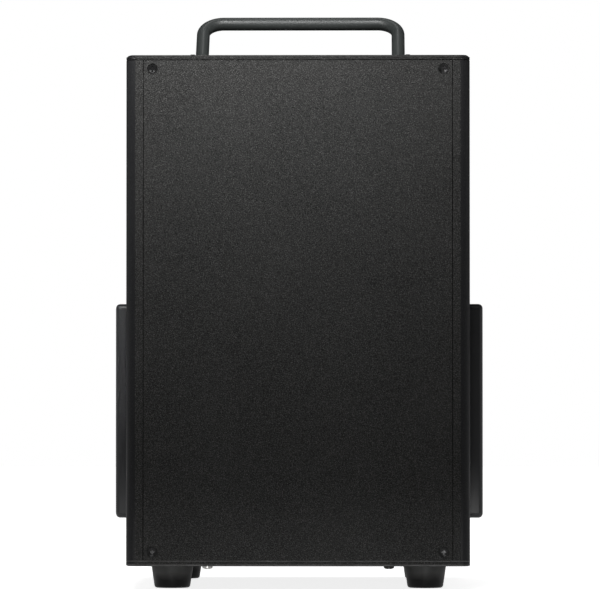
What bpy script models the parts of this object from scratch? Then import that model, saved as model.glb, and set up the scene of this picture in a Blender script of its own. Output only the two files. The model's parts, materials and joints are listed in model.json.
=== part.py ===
"""Cold spark machine: a stage effect that blows hot metal granules out of a nozzle on its top.

Metres, +Z up. The origin is on the floor under the middle of the machine, the plain face looks
along -Y and the control face along +Y. A piece on a wall is modelled as a viewer in front of
that wall sees it, with local X to the right, Y up and Z towards the viewer.
"""
import math

import bmesh
import bpy
from mathutils import Vector

# Seats and sheets
GAP = 0.0003
SHEET = 0.0015
CUT_PAST = 0.001
FACING = {
    "up": (0.0, 0.0, 0.0),
    "front": (math.pi / 2, 0.0, 0.0),
    "rear": (math.pi / 2, 0.0, math.pi),
    "left": (math.pi / 2, 0.0, -math.pi / 2),
    "right": (math.pi / 2, 0.0, math.pi / 2),
}

# Casing
BODY_WIDTH = 0.1816
BODY_DEPTH = 0.2150
BODY_HEIGHT = 0.2700
EDGE_RADIUS = 0.0044
EDGE_PLATE = 0.0026
ROOF_ROUNDING = 0.0022
FLOOR_ROUNDING = 0.0010
SIDE_FLANGE = 0.0090
FRONT_HEM = 0.0180
POST_WIDTH = 0.0180
POST_DEPTH = 0.0120
POST_WALL = 0.0020
DECK_FLANGE = 0.0100

# Feet and screws
FOOT_HEIGHT = 0.0120
FOOT_TOP_RADIUS = 0.0112
FOOT_BOTTOM_RADIUS = 0.0096
FOOT_ROUNDING = 0.0015
FOOT_SIDE_INSET = 0.0233
FOOT_INSET = 0.0340
SCREW_INSET = 0.0046
SCREW_HEAD_RADIUS = 0.0026
SCREW_HEAD_DEPTH = 0.0011
SCREW_SHANK_RADIUS = 0.0014
SCREW_LENGTH = 0.0080
SCREW_SINK = 0.0002
PAN_SIDE_INSET = 0.0428
PAN_INSET = 0.0120
PAN_RADIUS = 0.00275
PAN_HEIGHT = 0.0016
PAN_SHANK = 0.0070

# Handle
HANDLE_SPAN = 0.1074
HANDLE_ROD = 0.0072
HANDLE_LENGTH = 0.0356
HANDLE_BEND = 0.0112
HANDLE_SETBACK = 0.0920
HANDLE_LEAN = math.radians(52.0)
HANDLE_FLOAT = 0.0006
HANDLE_END_TURNS = [math.radians(turn) for turn in (80.0, 55.0, 30.0, 0.0)]
LUG_RADIUS = 0.0030
LUG_WALL = 0.0025
LUG_BASE_LENGTH = 0.0110
LUG_BASE_DEPTH = 0.0140
LUG_BASE_HEIGHT = 0.0015
LUG_STUD_RADIUS = 0.0015
LUG_STUD_REACH = 0.0050

# Fan cowls and cooling fans
COWL_SETBACK = 0.0495
COWL_LENGTH = 0.1160
COWL_HEIGHT = 0.1150
COWL_BASE = 0.0245
COWL_PROUD = 0.0079
COWL_CORNER = 0.0030
COWL_ROUNDING = 0.0022
COWL_SLOTS = 11
COWL_SLOT_HEIGHT = 0.0036
COWL_SLOT_PITCH = 0.0085
COWL_SLOT_LENGTH = 0.0880
FAN_SIZE = 0.0920
FAN_DEPTH = 0.0250
FAN_CORNER = 0.0050
FAN_BORE = 0.0440
FAN_BASE = 0.0040
FAN_HUB = 0.0190
FAN_TIP_GAP = 0.0015
FAN_BLADES = 7
FAN_BLADE_WIDTH = 0.0030
FAN_TWIST = math.radians(38.0)
FAN_RECESS = 0.0030
FAN_SPOKE = 0.0050
VENT_SLOTS = 9
VENT_SLOT_HEIGHT = 0.0050
VENT_PITCH = 0.0090
VENT_RADIUS = 0.0400

# Power supply and blower
SUPPLY_WIDTH = 0.0980
SUPPLY_SCREW_SPACE = 0.0206
SUPPLY_HEIGHT = 0.0380
SUPPLY_REAR_SPACE = 0.0520
SUPPLY_SHELF = 0.0180
SUPPLY_SHELF_HEIGHT = 0.0200
BLOWER_SLACK = 0.0040
BLOWER_RADIUS = 0.0420
BLOWER_RISE = 0.0520
BLOWER_WIDTH = 0.0340
BLOWER_OUTLET = 0.0280
BLOWER_WALL = 0.0015
BLOWER_FLANGE = 0.0020
BLOWER_FLANGE_LIP = 0.0050
BLOWER_INLET = 0.0200
BLOWER_BOSS = 0.0090
BLOWER_BOSS_HEIGHT = 0.0040
IMPELLER_RADIUS = 0.0330
IMPELLER_HEIGHT = 0.0220
IMPELLER_HUB = 0.0100
IMPELLER_BLADES = 16
IMPELLER_BLADE_WIDTH = 0.0016

# Spark column
NOZZLE_SETBACK = 0.0580
NOZZLE_BORE = 0.0160
NOZZLE_LIP_RADIUS = 0.0195
NOZZLE_LIP_HEIGHT = 0.0028
NOZZLE_FLANGE_RADIUS = 0.0270
NOZZLE_FLANGE_HEIGHT = 0.0020
NOZZLE_SKIRT_WALL = 0.0022
NOZZLE_SKIRT_DEPTH = 0.0080
NOZZLE_SHOULDER = 0.0020
TUBE_WALL = 0.0030
TUBE_FOOT_RADIUS = 0.0280
TUBE_FOOT_HEIGHT = 0.0030
SLEEVE_WALL = 0.0030
SLEEVE_MARGIN = 0.0040
COIL_RISE = 0.0360
COIL_TURNS = 8
COIL_STEPS_A_TURN = 12
COIL_PITCH = 0.0068
COIL_WIRE_RADIUS = 0.0025

# Hopper and its lid
HOPPER_WIDTH = 0.0600
HOPPER_DEPTH = 0.0420
HOPPER_CORNER = 0.0040
HOPPER_REAR_SPACE = 0.0160
HOPPER_WALL = 0.0015
HOPPER_FLANGE = 0.0050
HOPPER_FLANGE_HEIGHT = 0.0015
HOPPER_CONE = 0.0300
HOPPER_NECK = 0.0160
LID_HEIGHT = 0.0020
LID_MARGIN = 0.0020
LID_PLUG_CLEARANCE = 0.0010
LID_PLUG_HEIGHT = 0.0030
LID_TAB_WIDTH = 0.0180
LID_TAB_REACH = 0.0020
KNUCKLE_RADIUS = 0.0025
KNUCKLE_FLOAT = 0.0005
KNUCKLE_LENGTH = 0.0280
EAR_LENGTH = 0.0040
LID_PIN_RADIUS = 0.0012
LID_PIN_OVERHANG = 0.0010

# Granule feed
AUGER_RISE = 0.0160
BARREL_RADIUS = 0.0100
BARREL_BORE = 0.0075
AUGER_CLEARANCE = 0.0005
AUGER_SHAFT_RADIUS = 0.0025
AUGER_PITCH = 0.0120
AUGER_STEPS_A_TURN = 8
AUGER_SHAFT_POINTS = 6
AUGER_FIN_ANGLE = math.radians(18.0)
FEED_BLOCK = 0.0220
FEED_BLOCK_RISE = 0.0140
FEED_NECK_SEAT = 0.0105
BARREL_TAIL = 0.0090
BARREL_FLANGE = 0.0300
BARREL_FLANGE_WALL = 0.0030
BARREL_FOOT = 0.0120
GEARMOTOR_RADIUS = 0.0140
GEARMOTOR_LENGTH = 0.0180
GEARMOTOR_SOCKET = 0.0060

# Heating driver
SINK_LENGTH = 0.1000
SINK_HEIGHT = 0.0600
SINK_BASE = 0.0040
SINK_DEPTH = 0.0240
SINK_FINS = 6
SINK_FIN_WALL = 0.0016
BOARD_THICKNESS = 0.0016
DRIVER_PART_HEIGHT = 0.0080

# Control face
DISPLAY_DROP = 0.0440
DISPLAY_WIDTH = 0.0640
DISPLAY_HEIGHT = 0.0240
DISPLAY_LIP = 0.0030
DISPLAY_THICKNESS = 0.0012
CONTROL_WIDTH = 0.1000
CONTROL_HEIGHT = 0.0620
CONTROL_STANDOFF = 0.0090
STANDOFF_RADIUS = 0.0030
STANDOFF_INSET = 0.0050
BUTTON_COUNT = 4
BUTTON_PITCH = 0.0160
BUTTON_DROP = 0.0280
BUTTON_RADIUS = 0.0035
BUTTON_PROUD = 0.0020
BUTTON_TRAVEL = 0.0008
BUTTON_COLLAR = 0.0010
BUTTON_COLLAR_HEIGHT = 0.0012
SWITCH_BODY = 0.0030

# Power row, as seen from behind, from the middle of the face
POWER_ROW = 0.0360
INLET_PLACE = -0.0500
OUTLET_PLACE = 0.0040
ROCKER_PLACE = 0.0530
SOCKET_FLANGE_WIDTH = 0.0500
SOCKET_FLANGE_HEIGHT = 0.0260
SOCKET_FLANGE_WALL = 0.0025
SOCKET_CORNER = 0.0040
SOCKET_BODY_WIDTH = 0.0280
SOCKET_BODY_HEIGHT = 0.0210
SOCKET_BODY_DEPTH = 0.0240
SOCKET_MOUTH_WIDTH = 0.0245
SOCKET_MOUTH_HEIGHT = 0.0165
SOCKET_MOUTH_DEPTH = 0.0160
SOCKET_GROOVE = 0.0021
SOCKET_GROOVE_DEPTH = 0.0120
SLOT_SPREAD = 0.0070
SLOT_RISE = 0.0020
SLOT_WIDTH = 0.0024
SLOT_HEIGHT = 0.0044
FUSE_BAY_HEIGHT = 0.0090
FUSE_WIDTH = 0.0200
FUSE_HEIGHT = 0.0060
FUSE_DEPTH = 0.0190
FUSE_LIP = 0.0010
BEZEL_WIDTH = 0.0210
BEZEL_HEIGHT = 0.0310
BEZEL_WALL = 0.0015
BEZEL_LIP = 0.0015
BEZEL_DEPTH = 0.0160
BEZEL_CAVITY = 0.0100
ROCKER_WIDTH = 0.0140
ROCKER_LENGTH = 0.0230
ROCKER_RISE = 0.0064
ROCKER_DISH = 0.0012
ROCKER_KEEL_LENGTH = 0.0160
ROCKER_KEEL = 0.0025
ROCKER_PIVOT_DEPTH = 0.0040
ROCKER_TILT = math.radians(10.0)
ROCKER_SWEEP = 0.0014
TRUNNION_RADIUS = 0.0012
TRUNNION_REACH = 0.0008

# Signal row
SIGNAL_ROW = 0.0860
SIGNAL_SPREAD = 0.0520
PLUG_FLANGE_WIDTH = 0.0260
PLUG_FLANGE_HEIGHT = 0.0310
PLUG_FLANGE_WALL = 0.0020
PLUG_CORNER = 0.0020
PLUG_BODY_RADIUS = 0.0118
PLUG_BODY_DEPTH = 0.0220
PLUG_BORE = 0.0096
PLUG_BORE_DEPTH = 0.0140
PLUG_INSERT = 0.0076
PLUG_HOLE_RADIUS = 0.0012
PLUG_HOLE_CIRCLE = 0.0040
TAB_WIDTH = 0.0090
TAB_HEIGHT = 0.0024
TAB_PROUD = 0.0015
TAB_SINK = 0.0040

# Round pieces
SIDES = 28
SMALL_SIDES = 16
ARC_STEPS = 5

# Where the walls of the casing lie
REAR_REACH = (ROCKER_RISE * math.cos(ROCKER_TILT) + ROCKER_LENGTH / 2 * math.sin(ROCKER_TILT)
              - ROCKER_PIVOT_DEPTH)
FRONT_Y = -(BODY_DEPTH + REAR_REACH) / 2
REAR_Y = FRONT_Y + BODY_DEPTH
MIDDLE_Y = (FRONT_Y + REAR_Y) / 2
SIDE_X = BODY_WIDTH / 2
BODY_BOTTOM = FOOT_HEIGHT + GAP
PLATE_TOP = BODY_BOTTOM + EDGE_PLATE
BODY_TOP = BODY_BOTTOM + BODY_HEIGHT
ROOF_UNDER = BODY_TOP - EDGE_PLATE
WALL_LOW = PLATE_TOP + GAP
WALL_HIGH = ROOF_UNDER - GAP
INNER_X = SIDE_X - SHEET - GAP
INNER_DEPTH = BODY_DEPTH - 2 * (SHEET + GAP)
PANEL_HALF = SIDE_X - SIDE_FLANGE - GAP

# Where the works lie
COWL_LOW = BODY_BOTTOM + COWL_BASE
FAN_Y = FRONT_Y + COWL_SETBACK + COWL_LENGTH / 2
FAN_Z = COWL_LOW + COWL_HEIGHT / 2
SUPPLY_FRONT = FRONT_Y + PAN_INSET + SCREW_SHANK_RADIUS + SUPPLY_SCREW_SPACE
SUPPLY_REAR = REAR_Y - SUPPLY_REAR_SPACE
SUPPLY_TOP = PLATE_TOP + GAP + SUPPLY_HEIGHT
BLOWER_STACK = SUPPLY_TOP + BLOWER_SLACK + BLOWER_RADIUS + BLOWER_RISE + GAP
DECK_LOW = max(BLOWER_STACK, FAN_Z + FAN_SIZE / 2 + BLOWER_SLACK)
DECK_TOP = DECK_LOW + SHEET
NOZZLE_Y = FRONT_Y + NOZZLE_SETBACK
BLOWER_Y = NOZZLE_Y + BLOWER_RADIUS - BLOWER_OUTLET / 2
BLOWER_Z = DECK_LOW - GAP - BLOWER_RISE
TUBE_RADIUS = NOZZLE_BORE + TUBE_WALL
SKIRT_RADIUS = TUBE_RADIUS + GAP + NOZZLE_SKIRT_WALL
SLEEVE_RADIUS = TUBE_RADIUS + GAP + SLEEVE_WALL
HOPPER_Y = REAR_Y - HOPPER_REAR_SPACE - HOPPER_DEPTH / 2
HOPPER_FLANGE_TOP = GAP + HOPPER_FLANGE_HEIGHT
LID_AXIS_Y = HOPPER_Y + HOPPER_DEPTH / 2 + HOPPER_FLANGE - KNUCKLE_RADIUS
LID_AXIS_Z = BODY_TOP + HOPPER_FLANGE_TOP + KNUCKLE_RADIUS + KNUCKLE_FLOAT
AUGER_Z = DECK_TOP + AUGER_RISE
BARREL_REAR = HOPPER_Y + BARREL_TAIL
BARREL_FRONT = NOZZLE_Y + TUBE_RADIUS - TUBE_WALL / 2
MOTOR_FRONT = BARREL_REAR + BARREL_FLANGE_WALL + GAP
HANDLE_Y = FRONT_Y + HANDLE_SETBACK
HANDLE_PIVOT = HANDLE_ROD / 2 + HANDLE_FLOAT
DISPLAY_Z = BODY_TOP - DISPLAY_DROP
BUTTON_Z = DISPLAY_Z - BUTTON_DROP
POWER_Z = BODY_BOTTOM + POWER_ROW
SIGNAL_Z = BODY_BOTTOM + SIGNAL_ROW
TAB_RISE = PLUG_BODY_RADIUS + 2 * GAP + TAB_HEIGHT / 2


# Outlines

def arc(centre, radius, start, end, steps=ARC_STEPS):
    """Points along an arc, both ends included, in degrees."""
    turns = [math.radians(start + (end - start) * step / steps) for step in range(steps + 1)]
    return [(centre[0] + radius * math.cos(turn), centre[1] + radius * math.sin(turn))
            for turn in turns]


def circle(radius, sides=SIDES, centre=(0.0, 0.0)):
    return arc(centre, radius, 0.0, 360.0, sides)[:-1]


def rounded_rectangle(width, height, radius, centre=(0.0, 0.0), steps=ARC_STEPS):
    across = width / 2 - radius
    along = height / 2 - radius
    corners = ((across, along), (-across, along), (-across, -along), (across, -along))
    points = []
    for quarter, (x, y) in enumerate(corners):
        middle = (centre[0] + x, centre[1] + y)
        points += arc(middle, radius, 90.0 * quarter, 90.0 * (quarter + 1), steps)
    return points


def rectangle(low, high):
    return [(low[0], low[1]), (high[0], low[1]), (high[0], high[1]), (low[0], high[1])]


def centred(width, height, centre=(0.0, 0.0)):
    return rectangle((centre[0] - width / 2, centre[1] - height / 2),
                     (centre[0] + width / 2, centre[1] + height / 2))


def at_height(outline, height):
    return [(x, y, height) for x, y in outline]


def turned_outline(outline, angle):
    cosine, sine = math.cos(angle), math.sin(angle)
    return [(x * cosine - y * sine, x * sine + y * cosine) for x, y in outline]


def bladed_outline(hub, tip, blades, width):
    """A hub with straight blades that stick out of it, as one closed outline."""
    points = []
    hub_half = math.asin(width / 2 / hub)
    tip_half = math.asin(width / 2 / tip)
    for blade in range(blades):
        middle = math.tau * blade / blades
        next_edge = math.tau / blades - hub_half
        for radius, turn in ((hub, -hub_half), (tip, -tip_half), (tip, tip_half),
                             (hub, hub_half), (hub, (hub_half + next_edge) / 2)):
            points.append((radius * math.cos(middle + turn), radius * math.sin(middle + turn)))
    return points


# Solids

def finish(name, colour, roughness, metallic=0.0):
    made = bpy.data.materials.get(name)
    if made:
        return made
    made = bpy.data.materials.new(name)
    made.use_nodes = True
    shader = made.node_tree.nodes["Principled BSDF"]
    shader.inputs["Base Color"].default_value = (*colour, 1.0)
    shader.inputs["Roughness"].default_value = roughness
    shader.inputs["Metallic"].default_value = metallic
    return made


def powder_coat():
    return finish("powder_coat", (0.035, 0.035, 0.034), 0.62)


def satin_black():
    return finish("satin_black", (0.040, 0.041, 0.043), 0.42)


def handle_paint():
    return finish("handle_paint", (0.055, 0.060, 0.058), 0.40)


def black_plastic():
    return finish("black_plastic", (0.022, 0.022, 0.023), 0.48)


def black_rubber():
    return finish("black_rubber", (0.018, 0.018, 0.018), 0.72)


def bright_steel():
    return finish("bright_steel", (0.62, 0.62, 0.60), 0.30, 1.0)


def black_steel():
    return finish("black_steel", (0.05, 0.05, 0.05), 0.38, 0.6)


def zinc_sheet():
    return finish("zinc_sheet", (0.50, 0.51, 0.52), 0.42, 1.0)


def copper():
    return finish("copper", (0.72, 0.36, 0.20), 0.32, 1.0)


def ceramic():
    return finish("ceramic", (0.78, 0.76, 0.70), 0.60)


def circuit_green():
    return finish("circuit_green", (0.03, 0.16, 0.07), 0.45)


def dark_window():
    return finish("dark_window", (0.010, 0.012, 0.015), 0.12)


def mesh_piece(name, mesh, look):
    piece = bpy.data.objects.new(name, mesh)
    bpy.context.scene.collection.objects.link(piece)
    mesh.materials.append(look)
    return piece


def loft(name, rings, look, closed=False):
    """Skin a row of rings with as many points each; a closed row joins its last ring to its first."""
    mesh = bpy.data.meshes.new(name)
    shape = bmesh.new()
    rows = [[shape.verts.new(point) for point in ring] for ring in rings]
    pairs = list(zip(rows, rows[1:]))
    if closed:
        pairs.append((rows[-1], rows[0]))
    for lower, upper in pairs:
        for this in range(len(lower)):
            after = (this + 1) % len(lower)
            shape.faces.new((lower[this], lower[after], upper[after], upper[this]))
    if not closed:
        shape.faces.new(rows[0])
        shape.faces.new(rows[-1])
    bmesh.ops.recalc_face_normals(shape, faces=shape.faces)
    shape.to_mesh(mesh)
    shape.free()
    mesh.shade_smooth()
    mesh.set_sharp_from_angle(angle=math.radians(35.0))
    return mesh_piece(name, mesh, look)


def prism(name, outline, low, high, look):
    return loft(name, [at_height(outline, low), at_height(outline, high)], look)


def block(name, low, high, look):
    return prism(name, rectangle(low, high), low[2], high[2], look)


def turned(name, profile, look, sides=SIDES, hollow=False):
    """Turn a profile of (radius, height) points about Z; a hollow one is a closed loop."""
    rings = [at_height(circle(radius, sides), height) for radius, height in profile]
    return loft(name, rings, look, closed=hollow)


def twisted(name, outline, low, high, angle, steps, look):
    """Carry an outline up Z while it turns evenly by the angle."""
    rings = []
    for step in range(steps + 1):
        share = step / steps
        turned_ring = turned_outline(outline, angle * share)
        rings.append(at_height(turned_ring, low + (high - low) * share))
    return loft(name, rings, look)


def swept(name, points, radii, across, look, sides=SMALL_SIDES):
    """Carry a circle along a row of points; across is a direction that the row never takes."""
    rings = []
    spots = [Vector(point) for point in points]
    for index, (spot, radius) in enumerate(zip(spots, radii)):
        before = spots[max(index - 1, 0)]
        after = spots[min(index + 1, len(spots) - 1)]
        along = (after - before).normalized()
        first = Vector(across).cross(along).normalized()
        second = along.cross(first)
        rings.append([spot + first * x + second * y for x, y in circle(radius, sides)])
    return loft(name, rings, look)


def several(name, solids, look):
    """One mesh made of several closed prisms, each given as (outline, low, high)."""
    mesh = bpy.data.meshes.new(name)
    shape = bmesh.new()
    for outline, low, high in solids:
        below = [shape.verts.new(point) for point in at_height(outline, low)]
        above = [shape.verts.new(point) for point in at_height(outline, high)]
        for this in range(len(outline)):
            after = (this + 1) % len(outline)
            shape.faces.new((below[this], below[after], above[after], above[this]))
        shape.faces.new(below)
        shape.faces.new(above)
    bmesh.ops.recalc_face_normals(shape, faces=shape.faces)
    shape.to_mesh(mesh)
    shape.free()
    return mesh_piece(name, mesh, look)


def place(piece, location, facing="up"):
    piece.location = location
    piece.rotation_euler = FACING[facing]
    return piece


def combine(piece, tool, operation):
    """Cut a tool from a piece or add it; the tool is modelled in the piece's own frame."""
    tool.parent = piece
    tool.hide_render = True
    tool.display_type = "WIRE"
    change = piece.modifiers.new(tool.name, "BOOLEAN")
    change.operation = operation
    change.solver = "EXACT"
    change.object = tool
    return piece


def cut(piece, *tools):
    for tool in tools:
        combine(piece, tool, "DIFFERENCE")
    return piece


def add(piece, *tools):
    for tool in tools:
        combine(piece, tool, "UNION")
    return piece


def drill(piece, name, radius, spot, low, high, sides=SMALL_SIDES):
    """Bore a round hole along the piece's local Z."""
    hole = prism(name, circle(radius, sides, spot), low, high, black_plastic())
    return cut(piece, hole)


# Casing

def front_screw_spots():
    across = PANEL_HALF - SCREW_INSET
    low = WALL_LOW + SCREW_INSET
    high = WALL_HIGH - SCREW_INSET
    return {"top_left": (-across, high), "top_right": (across, high),
            "bottom_left": (-across, low), "bottom_right": (across, low)}


def screw_profile(spare, reach):
    """Countersunk screw, from its tip up to its face; spare widens it into its hole."""
    return [
        (SCREW_SHANK_RADIUS + spare, -reach),
        (SCREW_SHANK_RADIUS + spare, -SCREW_HEAD_DEPTH - SCREW_SINK),
        (SCREW_HEAD_RADIUS + spare, -SCREW_SINK),
    ]


def countersink(name, spot):
    profile = screw_profile(GAP, SCREW_LENGTH + CUT_PAST)
    profile.append((SCREW_HEAD_RADIUS + GAP, CUT_PAST))
    tool = turned(name, profile, black_steel(), SMALL_SIDES)
    tool.location = (*spot, 0.0)
    return tool


def front_panel():
    """Face sheet, with a hem turned back along its foot that takes the two screws from below."""
    outline = rectangle((-PANEL_HALF, WALL_LOW), (PANEL_HALF, WALL_HIGH))
    panel = prism("front_panel", outline, -SHEET, 0.0, powder_coat())
    hem_half = INNER_X - POST_WIDTH - GAP
    hem = block("front_hem", (-hem_half, WALL_LOW, -FRONT_HEM),
                (hem_half, WALL_LOW + SHEET, -SHEET / 2), powder_coat())
    add(panel, hem)
    for corner, spot in front_screw_spots().items():
        cut(panel, countersink(f"countersink_{corner}", spot))
    for side in (-1, 1):
        hole = prism(f"hem_hole_{side}", circle(SCREW_SHANK_RADIUS + GAP, SMALL_SIDES),
                     WALL_LOW - CUT_PAST, WALL_LOW + SHEET + CUT_PAST, powder_coat())
        hole.rotation_euler = (-math.pi / 2, 0.0, 0.0)
        hole.location = (side * (SIDE_X - PAN_SIDE_INSET), 0.0, -PAN_INSET)
        cut(panel, hole)
    return place(panel, (0.0, FRONT_Y, 0.0), "front")


def front_screws():
    for corner, spot in front_screw_spots().items():
        screw = turned(f"front_screw_{corner}", screw_profile(0.0, SCREW_LENGTH),
                       black_steel(), SMALL_SIDES)
        place(screw, (spot[0], FRONT_Y, spot[1]), "front")


def side_panel(name, side):
    """Upright sheet with rounded front and rear edges that turn in as narrow flanges."""
    tip = SIDE_X - SIDE_FLANGE
    front = (SIDE_X - EDGE_RADIUS, FRONT_Y + EDGE_RADIUS)
    rear = (SIDE_X - EDGE_RADIUS, REAR_Y - EDGE_RADIUS)
    inner = EDGE_RADIUS - SHEET
    outline = [(tip, FRONT_Y)] + arc(front, EDGE_RADIUS, -90.0, 0.0)
    outline += arc(rear, EDGE_RADIUS, 0.0, 90.0) + [(tip, REAR_Y), (tip, REAR_Y - SHEET)]
    outline += arc(rear, inner, 90.0, 0.0) + arc(front, inner, 0.0, -90.0)
    outline += [(tip, FRONT_Y + SHEET)]
    outline = [(side * x, y) for x, y in outline]
    panel = prism(name, outline, WALL_LOW, WALL_HIGH, powder_coat())
    return cut(panel, fan_vent(f"{name}_vent", side))


def fan_vent(name, side):
    """Level slots that fill a circle in front of the fan."""
    slots = []
    for slot in range(VENT_SLOTS):
        rise = (slot - (VENT_SLOTS - 1) / 2) * VENT_PITCH
        reach = math.sqrt(VENT_RADIUS ** 2 - rise ** 2)
        near = (side * (SIDE_X - SHEET - CUT_PAST), FAN_Y - reach)
        far = (side * (SIDE_X + CUT_PAST), FAN_Y + reach)
        low = FAN_Z + rise - VENT_SLOT_HEIGHT / 2
        slots.append((rectangle(near, far), low, low + VENT_SLOT_HEIGHT))
    return several(name, slots, powder_coat())


def plate_rings(levels):
    """Rounded rectangles as large as the casing, each inset and at a height."""
    rings = []
    for inset, height in levels:
        outline = rounded_rectangle(BODY_WIDTH - 2 * inset, BODY_DEPTH - 2 * inset,
                                    EDGE_RADIUS - inset, (0.0, MIDDLE_Y))
        rings.append(at_height(outline, height))
    return rings


def rounding(radius, edge, steps=3):
    """Inset and height along a rounded edge, from its side up to its face."""
    turns = [math.pi / 2 * step / steps for step in range(steps + 1)]
    return [(radius * (1 - math.cos(turn)), edge - radius * (1 - math.sin(turn)))
            for turn in turns]


def top_panel():
    levels = [(0.0, -EDGE_PLATE)] + rounding(ROOF_ROUNDING, 0.0)
    panel = loft("top_panel", plate_rings(levels), powder_coat())
    drill(panel, "nozzle_hole", SKIRT_RADIUS + GAP, (0.0, NOZZLE_Y),
          -EDGE_PLATE - CUT_PAST, CUT_PAST, SIDES)
    mouth = rounded_rectangle(HOPPER_WIDTH + 2 * GAP, HOPPER_DEPTH + 2 * GAP,
                              HOPPER_CORNER + GAP, (0.0, HOPPER_Y))
    cut(panel, prism("hopper_hole", mouth, -EDGE_PLATE - CUT_PAST, CUT_PAST, powder_coat()))
    return place(panel, (0.0, 0.0, BODY_TOP))


def bottom_plate():
    levels = [(inset, -height) for inset, height in reversed(rounding(FLOOR_ROUNDING, 0.0, 2))]
    levels.append((0.0, EDGE_PLATE))
    plate = loft("bottom_plate", plate_rings(levels), powder_coat())
    for side in (-1, 1):
        spot = (side * (SIDE_X - PAN_SIDE_INSET), FRONT_Y + PAN_INSET)
        drill(plate, f"pan_hole_{side}", SCREW_SHANK_RADIUS + GAP, spot,
              -CUT_PAST, EDGE_PLATE + CUT_PAST)
    return place(plate, (0.0, 0.0, BODY_BOTTOM))


def underside_screws():
    for label, side in (("left", -1), ("right", 1)):
        profile = [
            (PAN_RADIUS * 0.7, -PAN_HEIGHT - GAP),
            (PAN_RADIUS, -PAN_HEIGHT / 2 - GAP),
            (PAN_RADIUS, -GAP),
            (SCREW_SHANK_RADIUS, -GAP),
            (SCREW_SHANK_RADIUS, PAN_SHANK),
        ]
        screw = turned(f"underside_screw_{label}", profile, bright_steel(), SMALL_SIDES)
        place(screw, (side * (SIDE_X - PAN_SIDE_INSET), FRONT_Y + PAN_INSET, BODY_BOTTOM))


def corner_posts():
    """Angle posts in the four upright corners, between the bottom plate and the roof."""
    half = INNER_DEPTH / 2
    round_radius = EDGE_RADIUS - SHEET - GAP
    corner = [(INNER_X - POST_WIDTH, half)]
    corner += arc((INNER_X - round_radius, half - round_radius), round_radius, 90.0, 0.0)
    corner += [(INNER_X, half - POST_DEPTH), (INNER_X - POST_WALL, half - POST_DEPTH),
               (INNER_X - POST_WALL, half - POST_WALL),
               (INNER_X - POST_WIDTH, half - POST_WALL)]
    for end, toward in (("front", -1), ("rear", 1)):
        for label, side in (("left", -1), ("right", 1)):
            outline = [(side * x, toward * y) for x, y in corner]
            name = f"{end}_{label}_post"
            post = prism(name, outline, WALL_LOW, WALL_HIGH, zinc_sheet())
            place(post, (0.0, MIDDLE_Y, 0.0))
            if end == "front":
                post_screw_holes(post, label)


def post_screw_holes(post, label):
    for corner, (x, height) in front_screw_spots().items():
        if not corner.endswith(label):
            continue
        hole = prism(f"post_hole_{corner}", circle(SCREW_SHANK_RADIUS + GAP, SMALL_SIDES),
                     -CUT_PAST, POST_WALL + CUT_PAST, zinc_sheet())
        hole.rotation_euler = (-math.pi / 2, 0.0, 0.0)
        hole.location = (x, -INNER_DEPTH / 2, height)
        cut(post, hole)


def deck():
    """Level tray between the posts that carries the spark column, the feed and the driver."""
    half = INNER_DEPTH / 2 - POST_DEPTH - GAP
    outline = [(-INNER_X, DECK_FLANGE), (-INNER_X, 0.0), (INNER_X, 0.0), (INNER_X, DECK_FLANGE),
               (INNER_X - SHEET, DECK_FLANGE), (INNER_X - SHEET, SHEET),
               (SHEET - INNER_X, SHEET), (SHEET - INNER_X, DECK_FLANGE)]
    tray = prism("deck", outline, -half, half, zinc_sheet())
    hole = prism("deck_hole", circle(NOZZLE_BORE, SIDES), -CUT_PAST, SHEET + CUT_PAST,
                 zinc_sheet())
    hole.rotation_euler = (-math.pi / 2, 0.0, 0.0)
    hole.location = (0.0, 0.0, MIDDLE_Y - NOZZLE_Y)
    cut(tray, hole)
    return place(tray, (0.0, MIDDLE_Y, DECK_LOW), "front")


def feet():
    profile = [(FOOT_BOTTOM_RADIUS - FOOT_ROUNDING, 0.0)]
    profile += [(FOOT_BOTTOM_RADIUS - inset, FOOT_ROUNDING - rise)
                for inset, rise in reversed(rounding(FOOT_ROUNDING, FOOT_ROUNDING, 2))][1:]
    profile.append((FOOT_TOP_RADIUS, FOOT_HEIGHT))
    for end, y in (("front", FRONT_Y + FOOT_INSET), ("rear", REAR_Y - FOOT_INSET)):
        for label, side in (("left", -1), ("right", 1)):
            foot = turned(f"foot_{end}_{label}", profile, black_rubber())
            place(foot, (side * (SIDE_X - FOOT_SIDE_INSET), y, 0.0))


# Handle

def handle():
    """Rod bent into a bow. Its origin is on the fold axis and it leans back from upright."""
    half = HANDLE_SPAN / 2
    top = HANDLE_LENGTH
    bend = HANDLE_BEND
    rod = HANDLE_ROD / 2
    end = [(rod * math.cos(turn), -rod * math.sin(turn)) for turn in HANDLE_END_TURNS]
    path = [(-half, z) for radius, z in end]
    path += arc((-half + bend, top - bend), bend, 180.0, 90.0, 8)
    path += arc((half - bend, top - bend), bend, 90.0, 0.0, 8)
    path += [(half, z) for radius, z in reversed(end)]
    ends = [radius for radius, z in end]
    radii = ends + [rod] * (len(path) - 2 * len(ends)) + ends[::-1]
    bow = swept("handle", [(x, 0.0, z) for x, z in path], radii, (0.0, 1.0, 0.0), handle_paint())
    for side in (-1, 1):
        outer = half + HANDLE_ROD / 2
        ends = sorted((side * (outer + CUT_PAST), side * (outer - LUG_STUD_REACH - GAP)))
        bore = prism(f"handle_bore_{side}", circle(LUG_STUD_RADIUS + GAP, SMALL_SIDES),
                     ends[0], ends[1], handle_paint())
        bore.rotation_euler = FACING["right"]
        cut(bow, bore)
    place(bow, (0.0, HANDLE_Y, BODY_TOP + HANDLE_PIVOT))
    bow.rotation_euler = (-HANDLE_LEAN, 0.0, 0.0)
    return bow


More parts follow.
